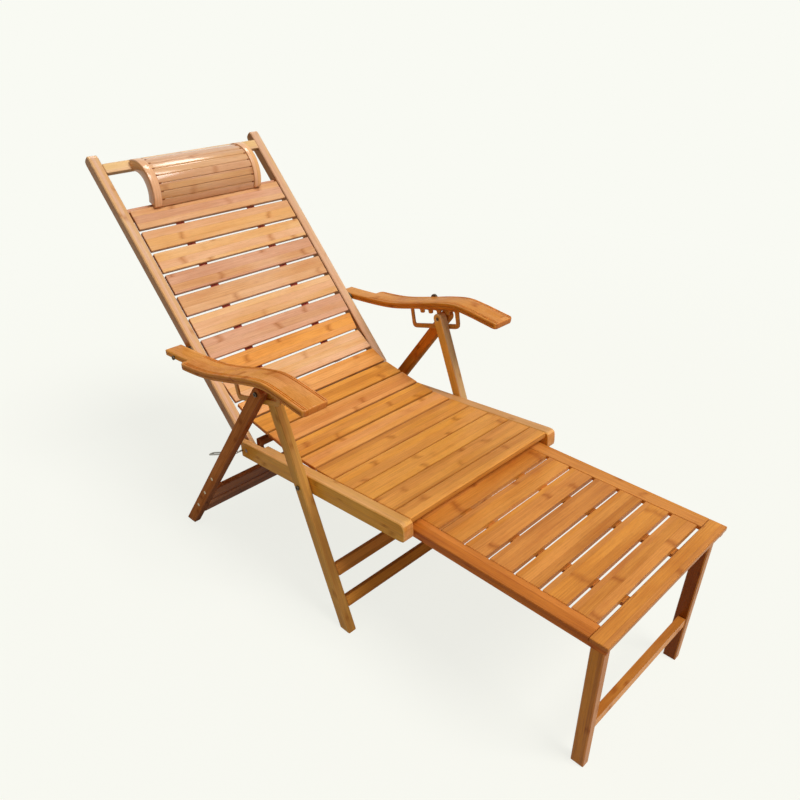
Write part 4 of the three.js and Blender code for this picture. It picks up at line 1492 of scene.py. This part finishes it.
@dataclass
class WireLoops:
    """Long steel wire loops that hang on studs at the rear of the seat rails."""

    drawing: Drawing
    wire: float = 2.0
    half_wide: float = 6.5
    length: float = 136.0
    dip: float = 0.45
    x: float = 270.5
    eye: Point = (238.0, 307.0)
    stud_inner: float = 243.0

    def build(self) -> None:
        """Models the left loop and mirrors it."""
        steel = MetalFinish(0x8E8A82).material("wire_steel")
        for piece, _, label in pair(self._model()):
            fit(piece, f"wire_loop_{label}", steel, [f"wire_loop_{label}"])

    def _model(self) -> Object:
        """Stretches a torus into a long loop, tips it down and adds its stud.

        Returns:
            The loop with its stud.
        """
        Bench.clear()
        bpy.ops.mesh.primitive_torus_add(
            major_radius=self.half_wide * MM,
            minor_radius=self.wire * MM,
            major_segments=36,
            minor_segments=14,
            location=(0, self.half_wide * MM, 0),
        )
        bench = Bench("wire_hoop_left")
        bench.edit()
        bench.pick("FACE", lambda at, way: at.y > self.half_wide * MM)
        bench.shift((0, (self.length - 2 * self.half_wide) * MM, 0))
        bench.rest()
        eye = self.drawing.place(self.x, *self.eye)
        bench.piece.data.transform(Matrix.Translation(eye) @ Matrix.Rotation(-self.dip, 4, "X"))
        bench.smooth(60.0)
        end = self.x + 1
        middle = self.drawing.place((self.stud_inner + end) / 2, *self.eye)
        stud = Bench.rod("wire_stud", middle, self.wire, end - self.stud_inner, sides=16)
        stud.edit()
        stud.pick("FACE", lambda at, way: way.x > FACING)
        stud.inset(0.6, 0.4)
        stud.rest()
        stud.smooth(50.0)
        return joined([bench.piece, stud.piece], bench.piece.name)


@dataclass(frozen=True)
class Button:
    """Round head along X whose outer face steps in and may have a hexagon socket."""

    radius: float
    thick: float
    sides: int
    steps: tuple[Point, ...]
    sink: float = 0.0
    rounding: float = 0.0
    angle: float = 40.0

    def model(self, name: str, centre: Vector) -> Object:
        """Models the head, facing +X.

        Args:
            name: Name of the piece.
            centre: Middle of the plain disc that it starts from.

        Returns:
            The piece.
        """
        bench = Bench.rod(name, centre, self.radius, self.thick, self.sides)
        bench.edit()
        bench.pick("FACE", lambda at, way: way.x > FACING)
        for narrower, outwards in self.steps:
            bench.inset(narrower)
            if outwards:
                bench.shift((outwards * MM, 0, 0))
        if self.sink:
            bench.extrude((-self.sink * MM, 0, 0))
        bench.rest()
        bench.recalculate()
        if self.rounding:
            bench.round_edges(self.rounding, angle=self.angle)
        else:
            bench.smooth(self.angle)
        return bench.piece


@dataclass
class Fasteners:
    """Bolts of the folding frame with washers and hexagon sockets, and wood screws."""

    drawing: Drawing
    shank: float = 3.5
    head: float = 5.2
    cap: float = 5.5
    head_thick: float = 3.2
    clear: float = 0.3
    stile_outer: float = 254.0
    arm_inner: float = 258.0
    arm_outer: float = 325.0
    tongue_outer: float = 302.0
    knob_at: Point = (152.0, 557.0)
    arm_bolt_end: float = 236.0
    leg_inner: float = 256.1
    rear_leg_outer: float = 305.0
    front_leg_outer: float = 278.5
    washer: float = 13.5
    knob: Button = Button(10.0, 5.0, 28, ((2.0, 1.8), (2.6, 1.2), (2.4, 0.4)), angle=50.0)
    screw: Button = Button(4.2, 1.0, 20, ((1.6, 0.3), (1.4, 0.0)), sink=0.7)
    rear_screws: tuple[float, ...] = (404.0, 484.0, 560.0)

    def build(self) -> None:
        """Models the bolts, the caps, the knob and the screws."""
        steel = MetalFinish(0x5A4E40, 0.45).material("bolt_steel")
        drawing, clear = self.drawing, self.clear
        spacer = (self.stile_outer + clear, self.arm_inner - clear)
        ends = (self.arm_bolt_end, self.tongue_outer + clear)
        arm = self._bolt("arm_bolt_set_left", drawing.arm_pivot, ends, spacer)
        ends = (self.leg_inner, self.rear_leg_outer + clear)
        apex = self._bolt("apex_bolt_set_left", drawing.apex, ends, None)
        for bolt, body in ((arm, "arm_bolts"), (apex, "front_legs")):
            node = bolt.name.removesuffix("_set_left")
            for piece, _, label in pair(bolt):
                fit(piece, body, steel, [f"{node}_{label}"])
        head_from = self.front_leg_outer
        cap = self._head("leg_pivot_cap_left", drawing.leg_pivot, head_from, self.cap)
        for piece, _, _ in pair(cap):
            fit(piece, "front_legs", steel)
        at = drawing.place(self.arm_outer + self.knob.thick / 2, *self.knob_at)
        fit(self.knob.model("arm_knob_left", at), "arm_left", steel)
        self._screws()

    def _bolt(self, name: str, at: Point, ends: Point, spacer: Point | None) -> Object:
        """Models a bolt along X.

        Args:
            name: Name of the piece.
            at: Its axis in the side drawing.
            ends: Inner end of the shank and the place where the head begins.
            spacer: Both faces of the washer on the shank, or None.

        Returns:
            The piece.
        """
        start, head_from = ends
        end = head_from + 1
        middle = self.drawing.place((start + end) / 2, *at)
        shank = Bench.rod(name, middle, self.shank, end - start, sides=20)
        shank.round_edges(0.5)
        parts = [shank.piece, self._head(f"{name}_head", at, head_from, self.head)]
        if spacer is not None:
            centre = self.drawing.place(sum(spacer) / 2, *at)
            wide = spacer[1] - spacer[0]
            ring = Bench.rod(f"{name}_washer", centre, self.washer, wide, sides=36)
            ring.round_edges(0.8)
            parts.append(ring.piece)
        return joined(parts, name)

    def _head(self, name: str, at: Point, start: float, radius: float) -> Object:
        """Models a low round head with a hexagon socket.

        Args:
            name: Name of the piece.
            at: Its axis in the side drawing.
            start: Where the head begins.
            radius: Its radius.

        Returns:
            The piece.
        """
        steps = ((radius * 0.22, 0.5), (radius * 0.26, 0.0), (0.1, 0.0))
        button = Button(radius, self.head_thick, 30, steps, sink=1.8, rounding=0.45)
        return button.model(name, self.drawing.place(start + self.head_thick / 2, *at))

    def _screws(self) -> None:
        """Adds the countersunk screws that hold the wide stretchers between the rear legs."""
        steel = MetalFinish(0xB8A88C, 0.35).material("screw_steel")
        top = Vector(self.drawing.apex)
        way = (Vector(self.drawing.rear_foot) - top).normalized()
        for i, along in enumerate(self.rear_screws):
            centre = self.drawing.place(self.rear_leg_outer + 0.3, *(top + way * along))
            screw = self.screw.model(f"rear_leg_screw_{i + 1}_left", centre)
            for piece, _, _ in pair(screw):
                fit(piece, "rear_legs", steel)


# Studio


@dataclass
class Studio:
    """Pale floor, soft light from above and the camera."""

    backdrop: int = 0xF9FAF3
    floor_half: float = 60.0
    floor_paint: Colour = (0.4, 0.4, 0.39)
    fade: Point = (1.2, 3.2)
    glow: float = 0.84
    world_colour: Colour = (1.0, 0.985, 0.96)
    world_level: float = 0.29
    lamp_colour: Colour = (1.0, 0.975, 0.94)
    key_level: float = 2.5
    glint_level: float = 0.8
    turn: float = -0.773
    height: float = 0.549
    roll: float = -0.007
    camera_at: tuple[float, float, float] = (-1.0515, -1.0884, 1.2557)
    lens: float = 32.94
    shift: Point = (0.025, 0.0425)

    def build(self) -> None:
        """Sets up floor, world, lamps and camera."""
        bpy.context.scene.view_settings.view_transform = "Standard"
        self._floor()
        self._world()
        self._sun("key", (0.1, -0.55, 0.83), self.key_level, 30.0)
        glint = self._sun("glint", (0.42, 0.12, 0.9), self.glint_level, 15.0)
        glint.visible_diffuse = False
        self._camera()

    def _floor(self) -> None:
        """Adds a wide pale floor that shows the shadow and fades into the backdrop."""
        Bench.clear()
        bpy.ops.mesh.primitive_plane_add(size=2 * self.floor_half, location=(0, 0, 0))
        floor = bpy.context.object
        floor.name = "floor"
        graph = Surface("pale_floor")
        graph.set(Base_Color=self.floor_paint, Roughness=0.9, Specular_IOR_Level=0.0)
        colour = linear(self.backdrop)
        lit = graph.fill(graph.node("BsdfDiffuse"), Color=colour)
        glow = graph.fill(graph.node("Emission"), Color=colour)
        far = graph.between(graph.vector("LENGTH", graph.position()), *self.fade)
        shown = graph.either(graph.ramp(far, 1 - self.glow, self.glow), lit, glow)
        whole = graph.either(graph.seen(), graph.shader, shown)
        graph.feed(graph.surface, whole.outputs[0])
        floor.data.materials.append(graph.owner)

    def _world(self) -> None:
        """Lights the chair evenly and shows the backdrop's colour to the camera."""
        world = bpy.data.worlds.new("studio")
        bpy.context.scene.world = world
        graph = Graph(world, "OutputWorld")
        light = graph.node("Background", self.world_colour, self.world_level)
        backdrop = graph.node("Background", linear(self.backdrop), 1.0)
        graph.feed(graph.surface, graph.either(graph.seen(), light, backdrop).outputs[0])

    def _sun(self, name: str, towards: Sequence[float], level: float, width: float) -> Object:
        """Adds a soft lamp far away in a direction.

        Args:
            name: Name of the lamp.
            towards: Direction to the lamp.
            level: Its strength.
            width: How wide it looks, in degrees.

        Returns:
            The lamp.
        """
        lamp = bpy.data.lights.new(name, "SUN")
        lamp.energy = level
        lamp.angle = math.radians(width)
        lamp.color = self.lamp_colour
        holder = bpy.data.objects.new(name, lamp)
        holder.rotation_mode = "QUATERNION"
        holder.rotation_quaternion = Vector(towards).to_track_quat("Z", "Y")
        bpy.context.scene.collection.objects.link(holder)
        return holder

    def _camera(self) -> None:
        """Sets the camera at the fitted angle."""
        data = bpy.data.cameras.new("camera")
        data.lens = self.lens
        data.sensor_width = 36.0
        data.shift_x, data.shift_y = self.shift
        data.clip_end = 300.0
        camera = bpy.data.objects.new("camera", data)
        turned = Matrix.Rotation(self.turn, 4, "Z")
        raised = Matrix.Rotation(math.pi / 2 - self.height, 4, "X")
        rolled = Matrix.Rotation(self.roll, 4, "Z")
        camera.matrix_world = Matrix.Translation(self.camera_at) @ turned @ raised @ rolled
        bpy.context.scene.collection.objects.link(camera)
        bpy.context.scene.camera = camera


def main() -> None:
    """Builds the classes in order."""
    logging.basicConfig(level=logging.INFO, format="%(message)s")
    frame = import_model()
    drawing = Drawing.from_frame()
    Woodwork(drawing, frame["nodes"]).dress()
    Armrests(drawing).build()
    HeadPillow(drawing).build()
    Webbing(drawing).build()
    WireLoops(drawing).build()
    Fasteners(drawing).build()
    Studio().build()
    bpy.context.view_layer.update()


if __name__ == "__main__":
    main()
